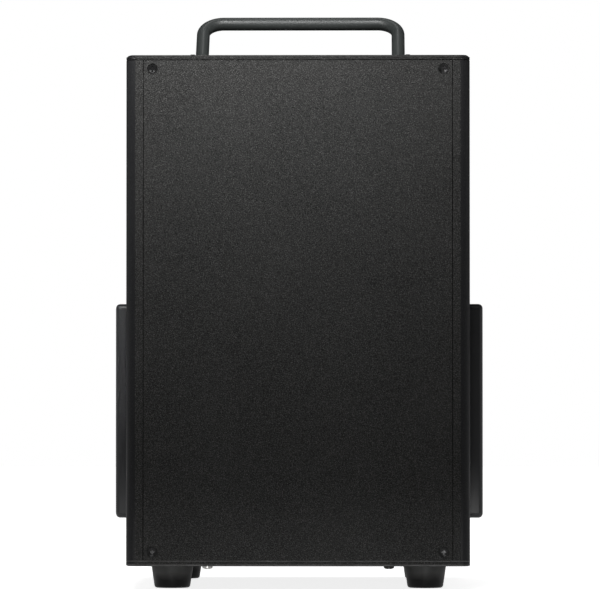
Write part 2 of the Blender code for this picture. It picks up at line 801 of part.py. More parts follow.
def handle_bracket(label, side):
    """Lug on the roof outside one leg, with a stud that the leg turns on."""
    foot = -HANDLE_PIVOT + GAP
    outline = [(LUG_RADIUS, foot)] + arc((0.0, 0.0), LUG_RADIUS, 0.0, 180.0, 8)
    outline.append((-LUG_RADIUS, foot))
    lug = prism(f"handle_bracket_{label}", outline, 0.0, LUG_WALL, black_steel())
    base = block(f"lug_base_{label}", (-LUG_BASE_DEPTH / 2, foot, 0.0),
                 (LUG_BASE_DEPTH / 2, foot + LUG_BASE_HEIGHT, LUG_BASE_LENGTH), black_steel())
    stud = prism(f"lug_stud_{label}", circle(LUG_STUD_RADIUS, SMALL_SIDES),
                 -LUG_STUD_REACH, LUG_WALL / 2, black_steel())
    add(lug, base, stud)
    inner = HANDLE_SPAN / 2 + HANDLE_ROD / 2 + GAP
    place(lug, (side * inner, HANDLE_Y, BODY_TOP + HANDLE_PIVOT), label)


# Fan cowls and cooling fans

def fan_cowl(label, side):
    """Shallow box over the fan vent, open towards the wall, with level slots in its face."""
    levels = [(0.0, GAP)] + rounding(COWL_ROUNDING, COWL_PROUD)
    rings = []
    for inset, height in levels:
        outline = rounded_rectangle(COWL_LENGTH - 2 * inset, COWL_HEIGHT - 2 * inset,
                                    COWL_CORNER - inset, steps=3)
        rings.append(at_height(outline, height))
    cowl = loft(f"{label}_fan_cowl", rings, satin_black())
    room = block(f"{label}_cowl_room",
                 (SHEET - COWL_LENGTH / 2, SHEET - COWL_HEIGHT / 2, GAP - CUT_PAST),
                 (COWL_LENGTH / 2 - SHEET, COWL_HEIGHT / 2 - SHEET, COWL_PROUD - SHEET),
                 satin_black())
    slots = []
    for slot in range(COWL_SLOTS):
        rise = (slot - (COWL_SLOTS - 1) / 2) * COWL_SLOT_PITCH
        outline = rectangle((-COWL_SLOT_LENGTH / 2, rise - COWL_SLOT_HEIGHT / 2),
                            (COWL_SLOT_LENGTH / 2, rise + COWL_SLOT_HEIGHT / 2))
        slots.append((outline, COWL_PROUD - SHEET - CUT_PAST, COWL_PROUD + CUT_PAST))
    cut(cowl, room, several(f"{label}_cowl_slots", slots, satin_black()))
    place(cowl, (side * SIDE_X, FAN_Y, FAN_Z), label)


def fan_frame(label, side):
    """Square frame with a round bore, and spokes at its inner face that hold the hub's seat."""
    frame = prism(f"{label}_fan_frame", rounded_rectangle(FAN_SIZE, FAN_SIZE, FAN_CORNER, steps=3),
                  -FAN_DEPTH, 0.0, black_plastic())
    drill(frame, f"{label}_fan_bore", FAN_BORE, (0.0, 0.0), FAN_BASE - FAN_DEPTH, CUT_PAST, SIDES)
    windows = []
    outer = FAN_BORE - FAN_TIP_GAP
    for quarter in range(4):
        edges = [math.degrees(math.asin(FAN_SPOKE / 2 / radius)) for radius in (FAN_HUB, outer)]
        start = 90.0 * quarter
        outline = arc((0.0, 0.0), FAN_HUB, start + edges[0], start + 90.0 - edges[0])
        outline += arc((0.0, 0.0), outer, start + 90.0 - edges[1], start + edges[1], 7)
        windows.append((outline, -FAN_DEPTH - CUT_PAST, FAN_BASE - FAN_DEPTH + CUT_PAST))
    cut(frame, several(f"{label}_fan_windows", windows, black_plastic()))
    place(frame, (side * INNER_X, FAN_Y, FAN_Z), label)


def fan_rotor(label, side):
    """Hub with twisted blades, just clear of the seat and the bore."""
    outline = bladed_outline(FAN_HUB, FAN_BORE - FAN_TIP_GAP, FAN_BLADES, FAN_BLADE_WIDTH)
    low = FAN_BASE + GAP - FAN_DEPTH
    rotor = twisted(f"{label}_fan_rotor", outline, low, -FAN_RECESS, FAN_TWIST, 4,
                    black_plastic())
    place(rotor, (side * INNER_X, FAN_Y, FAN_Z), label)


# Power supply and blower

def power_supply():
    """Metal box with a lower terminal shelf at its rear end."""
    rear = SUPPLY_REAR - SUPPLY_FRONT
    outline = [(0.0, 0.0), (rear, 0.0), (rear, SUPPLY_SHELF_HEIGHT),
               (rear - SUPPLY_SHELF, SUPPLY_SHELF_HEIGHT), (rear - SUPPLY_SHELF, SUPPLY_HEIGHT),
               (0.0, SUPPLY_HEIGHT)]
    supply = prism("power_supply", outline, -SUPPLY_WIDTH / 2, SUPPLY_WIDTH / 2, zinc_sheet())
    return place(supply, (0.0, SUPPLY_FRONT, PLATE_TOP + GAP), "right")


def volute(inset, top):
    """Blower outline seen from the right: a round case with a straight outlet at its front."""
    radius = BLOWER_RADIUS - inset
    tongue = BLOWER_OUTLET - BLOWER_RADIUS - inset
    turn = math.degrees(math.acos(tongue / radius))
    return ([(-radius, top)] + arc((0.0, 0.0), radius, -180.0, turn, 20) + [(tongue, top)])


def blower():
    half = BLOWER_WIDTH / 2
    spot = (0.0, BLOWER_Y, BLOWER_Z)
    housing = prism("blower_housing", volute(0.0, BLOWER_RISE), -half, half, black_plastic())
    lip = BLOWER_FLANGE_LIP
    flange = block("blower_flange",
                   (-BLOWER_RADIUS - lip, BLOWER_RISE - BLOWER_FLANGE, -half - lip),
                   (BLOWER_OUTLET - BLOWER_RADIUS + lip, BLOWER_RISE, half), black_plastic())
    room = prism("blower_room", volute(BLOWER_WALL, BLOWER_RISE + CUT_PAST),
                 BLOWER_WALL - half, half + CUT_PAST, black_plastic())
    boss = prism("blower_boss", circle(BLOWER_BOSS, SMALL_SIDES), BLOWER_WALL / 2 - half,
                 BLOWER_WALL + BLOWER_BOSS_HEIGHT - half, black_plastic())
    add(housing, flange)
    cut(housing, room)
    add(housing, boss)
    place(housing, spot, "right")
    cover = prism("blower_cover", volute(0.0, BLOWER_RISE), half + GAP,
                  half + GAP + BLOWER_WALL, black_plastic())
    drill(cover, "blower_inlet", BLOWER_INLET, (0.0, 0.0), half, half + 2 * BLOWER_WALL, SIDES)
    place(cover, spot, "right")
    seat = BLOWER_WALL + BLOWER_BOSS_HEIGHT + GAP - half
    outline = bladed_outline(IMPELLER_HUB, IMPELLER_RADIUS, IMPELLER_BLADES,
                             IMPELLER_BLADE_WIDTH)
    impeller = prism("blower_impeller", outline, seat, seat + IMPELLER_HEIGHT, black_plastic())
    place(impeller, spot, "right")


# Spark column

def spark_nozzle():
    """Flanged ring on the roof, with a skirt that goes down round the head of the tube."""
    inner = TUBE_RADIUS + GAP
    profile = [
        (NOZZLE_BORE, NOZZLE_LIP_HEIGHT),
        (NOZZLE_BORE, -NOZZLE_SHOULDER),
        (inner, -NOZZLE_SHOULDER),
        (inner, -NOZZLE_SKIRT_DEPTH),
        (SKIRT_RADIUS, -NOZZLE_SKIRT_DEPTH),
        (SKIRT_RADIUS, GAP),
        (NOZZLE_FLANGE_RADIUS, GAP),
        (NOZZLE_FLANGE_RADIUS, NOZZLE_FLANGE_HEIGHT),
        (NOZZLE_LIP_RADIUS, NOZZLE_FLANGE_HEIGHT),
        (NOZZLE_LIP_RADIUS, NOZZLE_LIP_HEIGHT),
    ]
    nozzle = turned("spark_nozzle", profile, bright_steel(), hollow=True)
    return place(nozzle, (0.0, NOZZLE_Y, BODY_TOP))


def spark_tube():
    """Heated tube from the deck up into the nozzle, with a port for the feed in its rear."""
    top = BODY_TOP - NOZZLE_SHOULDER - GAP - DECK_TOP
    profile = [
        (NOZZLE_BORE, GAP),
        (TUBE_FOOT_RADIUS, GAP),
        (TUBE_FOOT_RADIUS, TUBE_FOOT_HEIGHT),
        (TUBE_RADIUS, TUBE_FOOT_HEIGHT),
        (TUBE_RADIUS, top),
        (NOZZLE_BORE, top),
    ]
    tube = turned("spark_tube", profile, bright_steel(), hollow=True)
    port = prism("feed_port", circle(BARREL_RADIUS + GAP, SIDES), NOZZLE_BORE / 2,
                 TUBE_RADIUS + CUT_PAST, bright_steel())
    port.rotation_euler = (-math.pi / 2, 0.0, 0.0)
    port.location = (0.0, 0.0, AUGER_RISE)
    cut(tube, port)
    return place(tube, (0.0, NOZZLE_Y, DECK_TOP))


def coil_sleeve():
    half = COIL_TURNS * COIL_PITCH / 2 + COIL_WIRE_RADIUS + SLEEVE_MARGIN
    inner = TUBE_RADIUS + GAP
    profile = [(inner, -half), (SLEEVE_RADIUS, -half), (SLEEVE_RADIUS, half), (inner, half)]
    sleeve = turned("coil_sleeve", profile, ceramic(), hollow=True)
    return place(sleeve, (0.0, NOZZLE_Y, DECK_TOP + COIL_RISE + half))


def induction_coil():
    """Copper tube wound in a plain helix on the sleeve."""
    radius = SLEEVE_RADIUS + GAP + COIL_WIRE_RADIUS
    reach = radius / math.cos(math.pi / COIL_STEPS_A_TURN)
    points = []
    for step in range(COIL_TURNS * COIL_STEPS_A_TURN + 1):
        turns = step / COIL_STEPS_A_TURN
        angle = math.tau * turns
        points.append((reach * math.cos(angle), reach * math.sin(angle), COIL_PITCH * turns))
    radii = [COIL_WIRE_RADIUS] * len(points)
    coil = swept("induction_coil", points, radii, (0.0, 0.0, 1.0), copper(), 6)
    base = COIL_RISE + SLEEVE_MARGIN + COIL_WIRE_RADIUS
    return place(coil, (0.0, NOZZLE_Y, DECK_TOP + base))


# Hopper and its lid

def hopper_outline(inset):
    return rounded_rectangle(HOPPER_WIDTH - 2 * inset, HOPPER_DEPTH - 2 * inset,
                             HOPPER_CORNER - inset, steps=3)


def neck_outline(inset):
    side = HOPPER_NECK - 2 * inset
    return rounded_rectangle(side, side, HOPPER_CORNER - inset, steps=3)


def hopper():
    """Box that narrows to a neck, hung in the roof by its flange, with two ears for the lid."""
    neck_end = AUGER_Z + FEED_NECK_SEAT - BODY_TOP
    neck_top = AUGER_Z + FEED_BLOCK_RISE + GAP - BODY_TOP
    top = HOPPER_FLANGE_TOP
    outer = [(neck_outline(0.0), neck_end), (neck_outline(0.0), neck_top),
             (hopper_outline(0.0), neck_top + HOPPER_CONE), (hopper_outline(0.0), GAP)]
    flange = rounded_rectangle(HOPPER_WIDTH + 2 * HOPPER_FLANGE, HOPPER_DEPTH + 2 * HOPPER_FLANGE,
                               HOPPER_CORNER, steps=3)
    outer += [(flange, GAP), (flange, top)]
    box = loft("hopper", [at_height(*ring) for ring in outer], zinc_sheet())
    wall = HOPPER_WALL
    inner = [(neck_outline(wall), neck_end - CUT_PAST), (neck_outline(wall), neck_top),
             (hopper_outline(wall), neck_top + HOPPER_CONE), (hopper_outline(wall), top + CUT_PAST)]
    cut(box, loft("hopper_room", [at_height(*ring) for ring in inner], zinc_sheet()))
    axis = (LID_AXIS_Y - HOPPER_Y, LID_AXIS_Z - BODY_TOP)
    for side in (-1, 1):
        near = KNUCKLE_LENGTH / 2 + GAP
        ends = sorted((side * near, side * (near + EAR_LENGTH)))
        outline = [(axis[0] + KNUCKLE_RADIUS, top - GAP)]
        outline += arc(axis, KNUCKLE_RADIUS, 0.0, 180.0, 8)
        outline.append((axis[0] - KNUCKLE_RADIUS, top - GAP))
        ear = prism(f"lid_ear_{side}", outline, ends[0], ends[1], zinc_sheet())
        bore = prism(f"ear_bore_{side}", circle(LID_PIN_RADIUS + GAP, SMALL_SIDES, axis),
                     ends[0] - CUT_PAST, ends[1] + CUT_PAST, zinc_sheet())
        ear.rotation_euler = FACING["right"]
        bore.rotation_euler = FACING["right"]
        add(box, ear)
        cut(box, bore)
    return place(box, (0.0, HOPPER_Y, BODY_TOP))


def hopper_lid():
    """Plate with a plug that fits the mouth and one knuckle. Its origin is on the hinge axis."""
    low = BODY_TOP + HOPPER_FLANGE_TOP + GAP - LID_AXIS_Z
    mouth_y = HOPPER_Y - LID_AXIS_Y
    front = mouth_y - HOPPER_DEPTH / 2 - HOPPER_FLANGE + LID_MARGIN
    rear = -KNUCKLE_RADIUS - KNUCKLE_FLOAT
    half = HOPPER_WIDTH / 2 + HOPPER_FLANGE - LID_MARGIN
    outline = rounded_rectangle(2 * half, rear - front, HOPPER_CORNER,
                                (0.0, (front + rear) / 2), steps=3)
    lid = prism("hopper_lid", outline, low, low + LID_HEIGHT, satin_black())
    inset = HOPPER_WALL + LID_PLUG_CLEARANCE
    plug_outline = [(x, y + mouth_y) for x, y in hopper_outline(inset)]
    plug = prism("lid_plug", plug_outline, low - LID_PLUG_HEIGHT, low + LID_HEIGHT / 2,
                 satin_black())
    tab = block("lid_tab", (-LID_TAB_WIDTH / 2, front - LID_TAB_REACH, low),
                (LID_TAB_WIDTH / 2, front + LID_MARGIN, low + LID_HEIGHT), satin_black())
    arm = block("lid_arm", (-KNUCKLE_LENGTH / 2, rear - LID_MARGIN, low + GAP),
                (KNUCKLE_LENGTH / 2, 0.0, low + LID_HEIGHT - GAP), satin_black())
    knuckle = prism("lid_knuckle", circle(KNUCKLE_RADIUS, SMALL_SIDES), -KNUCKLE_LENGTH / 2,
                    KNUCKLE_LENGTH / 2, satin_black())
    knuckle.rotation_euler = FACING["right"]
    bore = prism("knuckle_bore", circle(LID_PIN_RADIUS + GAP, SMALL_SIDES),
                 -KNUCKLE_LENGTH / 2 - CUT_PAST, KNUCKLE_LENGTH / 2 + CUT_PAST, satin_black())
    bore.rotation_euler = FACING["right"]
    add(lid, plug, tab, arm, knuckle)
    cut(lid, bore)
    return place(lid, (0.0, LID_AXIS_Y, LID_AXIS_Z))


def lid_hinge_pin():
    half = KNUCKLE_LENGTH / 2 + GAP + EAR_LENGTH + LID_PIN_OVERHANG
    pin = prism("lid_hinge_pin", circle(LID_PIN_RADIUS, SMALL_SIDES), -half, half, bright_steel())
    return place(pin, (0.0, LID_AXIS_Y, LID_AXIS_Z), "right")


# Granule feed

def auger_barrel():
    """Level tube from the hopper's neck to the spark tube, on a front foot and a rear flange."""
    length = BARREL_REAR - BARREL_FRONT
    deck_seat = GAP - AUGER_RISE
    barrel = prism("auger_barrel", circle(BARREL_RADIUS, SIDES), 0.0, length, bright_steel())
    neck = BARREL_REAR - HOPPER_Y
    half = FEED_BLOCK / 2
    saddle = block("feed_saddle", (-half, -BARREL_RADIUS / 2, length - neck - half),
                   (half, FEED_BLOCK_RISE, length), zinc_sheet())
    flange = block("barrel_flange", (-BARREL_FLANGE / 2, deck_seat, length - GAP),
                   (BARREL_FLANGE / 2, FEED_BLOCK_RISE, length + BARREL_FLANGE_WALL),
                   zinc_sheet())
    foot_front = NOZZLE_Y + TUBE_FOOT_RADIUS + GAP - BARREL_FRONT
    foot = block("barrel_foot", (-BARREL_FOOT / 2, deck_seat, foot_front),
                 (BARREL_FOOT / 2, -BARREL_RADIUS / 2, foot_front + BARREL_FOOT), zinc_sheet())
    bore = prism("barrel_bore", circle(BARREL_BORE, SIDES), -CUT_PAST,
                 length + BARREL_FLANGE_WALL + CUT_PAST, zinc_sheet())
    drop = HOPPER_NECK / 2 + GAP
    seat = block("neck_seat", (-drop, 0.0, length - neck - drop),
                 (drop, FEED_BLOCK_RISE + CUT_PAST, length - neck + drop), zinc_sheet())
    add(barrel, saddle, flange, foot)
    cut(barrel, bore, seat)
    place(barrel, (0.0, BARREL_FRONT, AUGER_Z))
    barrel.rotation_euler = FACING["rear"]
    return barrel


def feed_auger():
    """Screw with one thin helical flight. Its shaft goes back into the gearmotor."""
    flight = BARREL_BORE - AUGER_CLEARANCE
    shaft = AUGER_SHAFT_RADIUS
    turns = [math.tau * step / AUGER_SHAFT_POINTS for step in range(1, AUGER_SHAFT_POINTS)]
    outline = [(flight * math.cos(-AUGER_FIN_ANGLE), flight * math.sin(-AUGER_FIN_ANGLE)),
               (flight * math.cos(AUGER_FIN_ANGLE), flight * math.sin(AUGER_FIN_ANGLE))]
    outline += [(shaft * math.cos(turn), shaft * math.sin(turn)) for turn in turns]
    length = BARREL_REAR - BARREL_FRONT
    wound = length / AUGER_PITCH
    auger = twisted("feed_auger", outline, 0.0, length, wound * math.tau,
                    round(wound * AUGER_STEPS_A_TURN), bright_steel())
    tail = prism("auger_tail", circle(shaft, SMALL_SIDES), length - CUT_PAST,
                 length + BARREL_FLANGE_WALL + GAP + GEARMOTOR_SOCKET - GAP, bright_steel())
    add(auger, tail)
    return place(auger, (0.0, BARREL_FRONT, AUGER_Z), "rear")


def feed_gearmotor():
    motor = prism("feed_gearmotor", circle(GEARMOTOR_RADIUS, SIDES), 0.0, GEARMOTOR_LENGTH,
                  zinc_sheet())
    drill(motor, "motor_socket", AUGER_SHAFT_RADIUS + GAP, (0.0, 0.0), -CUT_PAST,
          GEARMOTOR_SOCKET)
    return place(motor, (0.0, MOTOR_FRONT, AUGER_Z), "rear")


# Heating driver

def heating_driver():
    """Finned heat sink that stands on the deck, with the driver board against its flat side."""
    low = DECK_TOP + GAP
    fin_x = SHEET + GAP - INNER_X
    spot = (fin_x, MIDDLE_Y, low)
    half = SINK_LENGTH / 2
    sink = block("heat_sink", (SINK_DEPTH - SINK_BASE, -half, 0.0),
                 (SINK_DEPTH, half, SINK_HEIGHT), zinc_sheet())
    pitch = (SINK_HEIGHT - SINK_FIN_WALL) / (SINK_FINS - 1)
    for fin in range(SINK_FINS):
        rise = pitch * fin
        add(sink, block(f"sink_fin_{fin}", (0.0, -half, rise),
                        (SINK_DEPTH - SINK_BASE / 2, half, rise + SINK_FIN_WALL), zinc_sheet()))
    place(sink, spot)
    near = SINK_DEPTH + GAP
    board = block("driver_board", (near, -half, 0.0),
                  (near + BOARD_THICKNESS, half, SINK_HEIGHT), circuit_green())
    part_low = SINK_HEIGHT / 4
    for index, share in enumerate((-0.30, 0.0, 0.30)):
        middle = share * SINK_LENGTH
        width = SINK_LENGTH / 10
        chip = block(f"driver_part_{index}", (near + BOARD_THICKNESS / 2, middle - width, part_low),
                     (near + BOARD_THICKNESS + DRIVER_PART_HEIGHT, middle + width, 3 * part_low),
                     circuit_green())
        add(board, chip)
    place(board, spot)


# Control face

def button_places():
    first = -(BUTTON_COUNT - 1) / 2 * BUTTON_PITCH
    return [first + BUTTON_PITCH * index for index in range(BUTTON_COUNT)]


def rear_panel():
    outline = rectangle((-PANEL_HALF, WALL_LOW), (PANEL_HALF, WALL_HIGH))
    panel = prism("rear_panel", outline, -SHEET, 0.0, powder_coat())
    holes = [centred(DISPLAY_WIDTH + 2 * GAP, DISPLAY_HEIGHT + 2 * GAP, (0.0, DISPLAY_Z))]
    holes += [circle(BUTTON_RADIUS + GAP, SMALL_SIDES, (x, BUTTON_Z)) for x in button_places()]
    holes.append(inlet_hole())
    holes.append(centred(SOCKET_BODY_WIDTH + 2 * GAP, SOCKET_BODY_HEIGHT + 2 * GAP,
                         (OUTLET_PLACE, POWER_Z)))
    holes.append(centred(BEZEL_WIDTH - 2 * BEZEL_LIP + 2 * GAP,
                         BEZEL_HEIGHT - 2 * BEZEL_LIP + 2 * GAP, (ROCKER_PLACE, POWER_Z)))
    for side in (-1, 1):
        holes.append(circle(PLUG_BODY_RADIUS + GAP, SIDES, (side * SIGNAL_SPREAD / 2, SIGNAL_Z)))
    holes.append(tab_hole())
    for index, hole in enumerate(holes):
        cut(panel, prism(f"rear_hole_{index}", hole, -SHEET - CUT_PAST, CUT_PAST, powder_coat()))
    return place(panel, (0.0, REAR_Y, 0.0), "rear")


def inlet_hole():
    half = SOCKET_BODY_WIDTH / 2 + GAP
    return rectangle((INLET_PLACE - half, POWER_Z - SOCKET_BODY_HEIGHT / 2 - GAP),
                     (INLET_PLACE + half, POWER_Z + SOCKET_BODY_HEIGHT / 2 + FUSE_BAY_HEIGHT + GAP))


def tab_hole():
    middle = SIGNAL_SPREAD / 2
    high = SIGNAL_Z + TAB_RISE + TAB_HEIGHT / 2 + GAP
    return rectangle((middle - TAB_WIDTH / 2 - GAP, high - TAB_WIDTH / 2),
                     (middle + TAB_WIDTH / 2 + GAP, high))


def control_board():
    """Board on four pillars behind the panel, with the display's module and key switches."""
    back = -SHEET - GAP - CONTROL_STANDOFF
    middle = (DISPLAY_Z + BUTTON_Z) / 2
    board = block("control_board",
                  (-CONTROL_WIDTH / 2, middle - CONTROL_HEIGHT / 2, back - BOARD_THICKNESS),
                  (CONTROL_WIDTH / 2, middle + CONTROL_HEIGHT / 2, back), circuit_green())
    into = back - BOARD_THICKNESS / 2
    across = CONTROL_WIDTH / 2 - STANDOFF_INSET
    along = CONTROL_HEIGHT / 2 - STANDOFF_INSET
    pillars = []
    for x in (-across, across):
        for y in (middle - along, middle + along):
            pillars.append((circle(STANDOFF_RADIUS, 8, (x, y)), into, -SHEET - GAP))
    half = DISPLAY_WIDTH / 2
    module = rectangle((-half, DISPLAY_Z - DISPLAY_HEIGHT / 2), (half, DISPLAY_Z + DISPLAY_HEIGHT / 2))
    pillars.append((module, into, -SHEET - 2 * GAP - DISPLAY_THICKNESS))
    key = BUTTON_RADIUS - BUTTON_COLLAR
    key_top = -SHEET - GAP - BUTTON_COLLAR_HEIGHT - SWITCH_BODY - BUTTON_TRAVEL - GAP
    for x in button_places():
        outline = rectangle((x - key, BUTTON_Z - key), (x + key, BUTTON_Z + key))
        pillars.append((outline, into, key_top))
    add(board, several("control_parts", pillars, circuit_green()))
    return place(board, (0.0, REAR_Y, 0.0), "rear")


def display_window():
    """Dark pane, flush with the panel, with a lip that bears on its back."""
    pane = block("display_window", (-DISPLAY_WIDTH / 2, -DISPLAY_HEIGHT / 2, -SHEET - GAP * 2),
                 (DISPLAY_WIDTH / 2, DISPLAY_HEIGHT / 2, 0.0), dark_window())
    lip = DISPLAY_LIP
    rim = block("window_lip",
                (-DISPLAY_WIDTH / 2 - lip, -DISPLAY_HEIGHT / 2 - lip,
                 -SHEET - GAP - DISPLAY_THICKNESS),
                (DISPLAY_WIDTH / 2 + lip, DISPLAY_HEIGHT / 2 + lip, -SHEET - GAP), dark_window())
    add(pane, rim)
    return place(pane, (0.0, REAR_Y, DISPLAY_Z), "rear")


def menu_buttons():
    """Caps that press in, each kept by a collar behind the panel and a stem to its switch."""
    collar = -SHEET - GAP
    stem = collar - BUTTON_COLLAR_HEIGHT - SWITCH_BODY
    profile = [
        (BUTTON_RADIUS - BUTTON_COLLAR * 1.5, stem),
        (BUTTON_RADIUS - BUTTON_COLLAR * 1.5, collar - BUTTON_COLLAR_HEIGHT),
        (BUTTON_RADIUS + BUTTON_COLLAR, collar - BUTTON_COLLAR_HEIGHT),
        (BUTTON_RADIUS + BUTTON_COLLAR, collar),
        (BUTTON_RADIUS, collar),
        (BUTTON_RADIUS, BUTTON_PROUD - GAP),
        (BUTTON_RADIUS - GAP, BUTTON_PROUD),
    ]
    for index, x in enumerate(button_places()):
        button = turned(f"menu_button_{index + 1}", profile, black_plastic(), SMALL_SIDES)
        place(button, (-x, REAR_Y, BUTTON_Z), "rear")


# Power row

def power_inlet():
    """Mains inlet with a deep mouth, and a bay above it for the fuse drawer."""
    top = SOCKET_BODY_HEIGHT / 2 + FUSE_BAY_HEIGHT
    margin = (SOCKET_FLANGE_HEIGHT - SOCKET_BODY_HEIGHT) / 2
    height = SOCKET_FLANGE_HEIGHT + FUSE_BAY_HEIGHT
    outline = rounded_rectangle(SOCKET_FLANGE_WIDTH, height, SOCKET_CORNER,
                                (0.0, top + margin - height / 2), 3)
    inlet = prism("power_inlet", outline, GAP, SOCKET_FLANGE_WALL, black_plastic())
    body = block("inlet_body", (-SOCKET_BODY_WIDTH / 2, -SOCKET_BODY_HEIGHT / 2, -SOCKET_BODY_DEPTH),
                 (SOCKET_BODY_WIDTH / 2, top, SOCKET_FLANGE_WALL / 2), black_plastic())
    mouth = block("inlet_mouth",
                  (-SOCKET_MOUTH_WIDTH / 2, -SOCKET_MOUTH_HEIGHT / 2, -SOCKET_MOUTH_DEPTH),
                  (SOCKET_MOUTH_WIDTH / 2, SOCKET_MOUTH_HEIGHT / 2, SOCKET_FLANGE_WALL + CUT_PAST),
                  black_plastic())
    middle = fuse_rise()
    spare = FUSE_HEIGHT / 2 + GAP
    bay = block("fuse_bay",
                (-FUSE_WIDTH / 2 - GAP, middle - spare, -FUSE_DEPTH - GAP),
                (FUSE_WIDTH / 2 + GAP, middle + spare, SOCKET_FLANGE_WALL + CUT_PAST),
                black_plastic())
    add(inlet, body)
    cut(inlet, mouth, bay)
    return place(inlet, (-INLET_PLACE, REAR_Y, POWER_Z), "rear")


def fuse_rise():
    return SOCKET_BODY_HEIGHT / 2 + FUSE_BAY_HEIGHT / 2 - GAP


def fuse_drawer():
    drawer = block("fuse_drawer", (-FUSE_WIDTH / 2, -FUSE_HEIGHT / 2, -FUSE_DEPTH),
                   (FUSE_WIDTH / 2, FUSE_HEIGHT / 2, SOCKET_FLANGE_WALL + FUSE_LIP),
                   black_plastic())
    return place(drawer, (-INLET_PLACE, REAR_Y, POWER_Z + fuse_rise()), "rear")


def power_outlet():
    """Mains outlet: a groove round a raised block that has three slots."""
    outline = rounded_rectangle(SOCKET_FLANGE_WIDTH, SOCKET_FLANGE_HEIGHT, SOCKET_CORNER, steps=3)
    outlet = prism("power_outlet", outline, GAP, SOCKET_FLANGE_WALL, black_plastic())
    body = block("outlet_body",
                 (-SOCKET_BODY_WIDTH / 2, -SOCKET_BODY_HEIGHT / 2, -SOCKET_BODY_DEPTH),
                 (SOCKET_BODY_WIDTH / 2, SOCKET_BODY_HEIGHT / 2, SOCKET_FLANGE_WALL / 2),
                 black_plastic())
    half = (SOCKET_MOUTH_WIDTH / 2, SOCKET_MOUTH_HEIGHT / 2)
    core = (half[0] - SOCKET_GROOVE, half[1] - SOCKET_GROOVE)
    top = SOCKET_FLANGE_WALL + CUT_PAST
    groove = [
        at_height(rectangle((-half[0], -half[1]), half), -SOCKET_GROOVE_DEPTH),
        at_height(rectangle((-half[0], -half[1]), half), top),
        at_height(rectangle((-core[0], -core[1]), core), top),
        at_height(rectangle((-core[0], -core[1]), core), -SOCKET_GROOVE_DEPTH),
    ]
    slots = []
    for x in (-SLOT_SPREAD, 0.0, SLOT_SPREAD):
        y = SLOT_RISE if x == 0.0 else -SLOT_RISE
        slots.append((centred(SLOT_WIDTH, SLOT_HEIGHT, (x, y)), -SOCKET_GROOVE_DEPTH, top))
    add(outlet, body)
    cut(outlet, loft("outlet_groove", groove, black_plastic(), closed=True),
        several("outlet_slots", slots, black_plastic()))
    return place(outlet, (-OUTLET_PLACE, REAR_Y, POWER_Z), "rear")


def rocker_switch():
    """Bezel with a deep opening, and a dished rocker that tips on two short trunnions."""
    half = (BEZEL_WIDTH / 2, BEZEL_HEIGHT / 2)
    bezel = prism("power_switch_bezel", rounded_rectangle(BEZEL_WIDTH, BEZEL_HEIGHT, BEZEL_LIP, steps=3),
                  GAP, BEZEL_WALL, black_plastic())
    body = block("bezel_body", (BEZEL_LIP - half[0], BEZEL_LIP - half[1], -BEZEL_DEPTH),
                 (half[0] - BEZEL_LIP, half[1] - BEZEL_LIP, BEZEL_WALL / 2), black_plastic())
    room = (ROCKER_WIDTH / 2 + GAP, ROCKER_LENGTH / 2 + ROCKER_SWEEP)
    cavity = block("bezel_room", (-room[0], -room[1], -BEZEL_CAVITY),
                   (room[0], room[1], BEZEL_WALL + CUT_PAST), black_plastic())
    socket = prism("trunnion_socket", circle(TRUNNION_RADIUS + GAP, SMALL_SIDES),
                   -ROCKER_WIDTH / 2 - TRUNNION_REACH - GAP,
                   ROCKER_WIDTH / 2 + TRUNNION_REACH + GAP, black_plastic())
    socket.rotation_euler = (0.0, math.pi / 2, 0.0)
    socket.location = (0.0, 0.0, -ROCKER_PIVOT_DEPTH)
    add(bezel, body)
    cut(bezel, cavity, socket)
    place(bezel, (-ROCKER_PLACE, REAR_Y, POWER_Z), "rear")

    end = ROCKER_LENGTH / 2
    keel = ROCKER_KEEL_LENGTH / 2
    side_view = [(-end, ROCKER_RISE), (0.0, ROCKER_RISE - ROCKER_DISH), (end, ROCKER_RISE),
                 (end, ROCKER_RISE - ROCKER_PIVOT_DEPTH), (keel, -ROCKER_KEEL),
                 (-keel, -ROCKER_KEEL), (-end, ROCKER_RISE - ROCKER_PIVOT_DEPTH)]
    rings = [[(x, y, z) for y, z in side_view] for x in (-ROCKER_WIDTH / 2, ROCKER_WIDTH / 2)]
    rocker = loft("power_switch_rocker", rings, black_plastic())
    reach = ROCKER_WIDTH / 2 + TRUNNION_REACH
    trunnion = prism("rocker_trunnion", circle(TRUNNION_RADIUS, SMALL_SIDES), -reach, reach,
                     black_plastic())
    trunnion.rotation_euler = (0.0, math.pi / 2, 0.0)
    add(rocker, trunnion)
    place(rocker, (-ROCKER_PLACE, REAR_Y - ROCKER_PIVOT_DEPTH, POWER_Z))
    rocker.rotation_euler = (math.pi / 2 + ROCKER_TILT, 0.0, math.pi)


# Signal row

def plug_shell(name):
    flange = prism(name, rounded_rectangle(PLUG_FLANGE_WIDTH, PLUG_FLANGE_HEIGHT, PLUG_CORNER, steps=3),
                   GAP, PLUG_FLANGE_WALL, satin_black())
    body = prism(f"{name}_body", circle(PLUG_BODY_RADIUS, SIDES), -PLUG_BODY_DEPTH,
                 PLUG_FLANGE_WALL / 2, satin_black())
    return add(flange, body)


def dmx_in():
    """Signal inlet: a round shell with a deep open bore."""
    shell = plug_shell("dmx_in")
    drill(shell, "dmx_in_bore", PLUG_BORE, (0.0, 0.0), -PLUG_BORE_DEPTH,
          PLUG_FLANGE_WALL + CUT_PAST, SIDES)
    return place(shell, (SIGNAL_SPREAD / 2, REAR_Y, SIGNAL_Z), "rear")


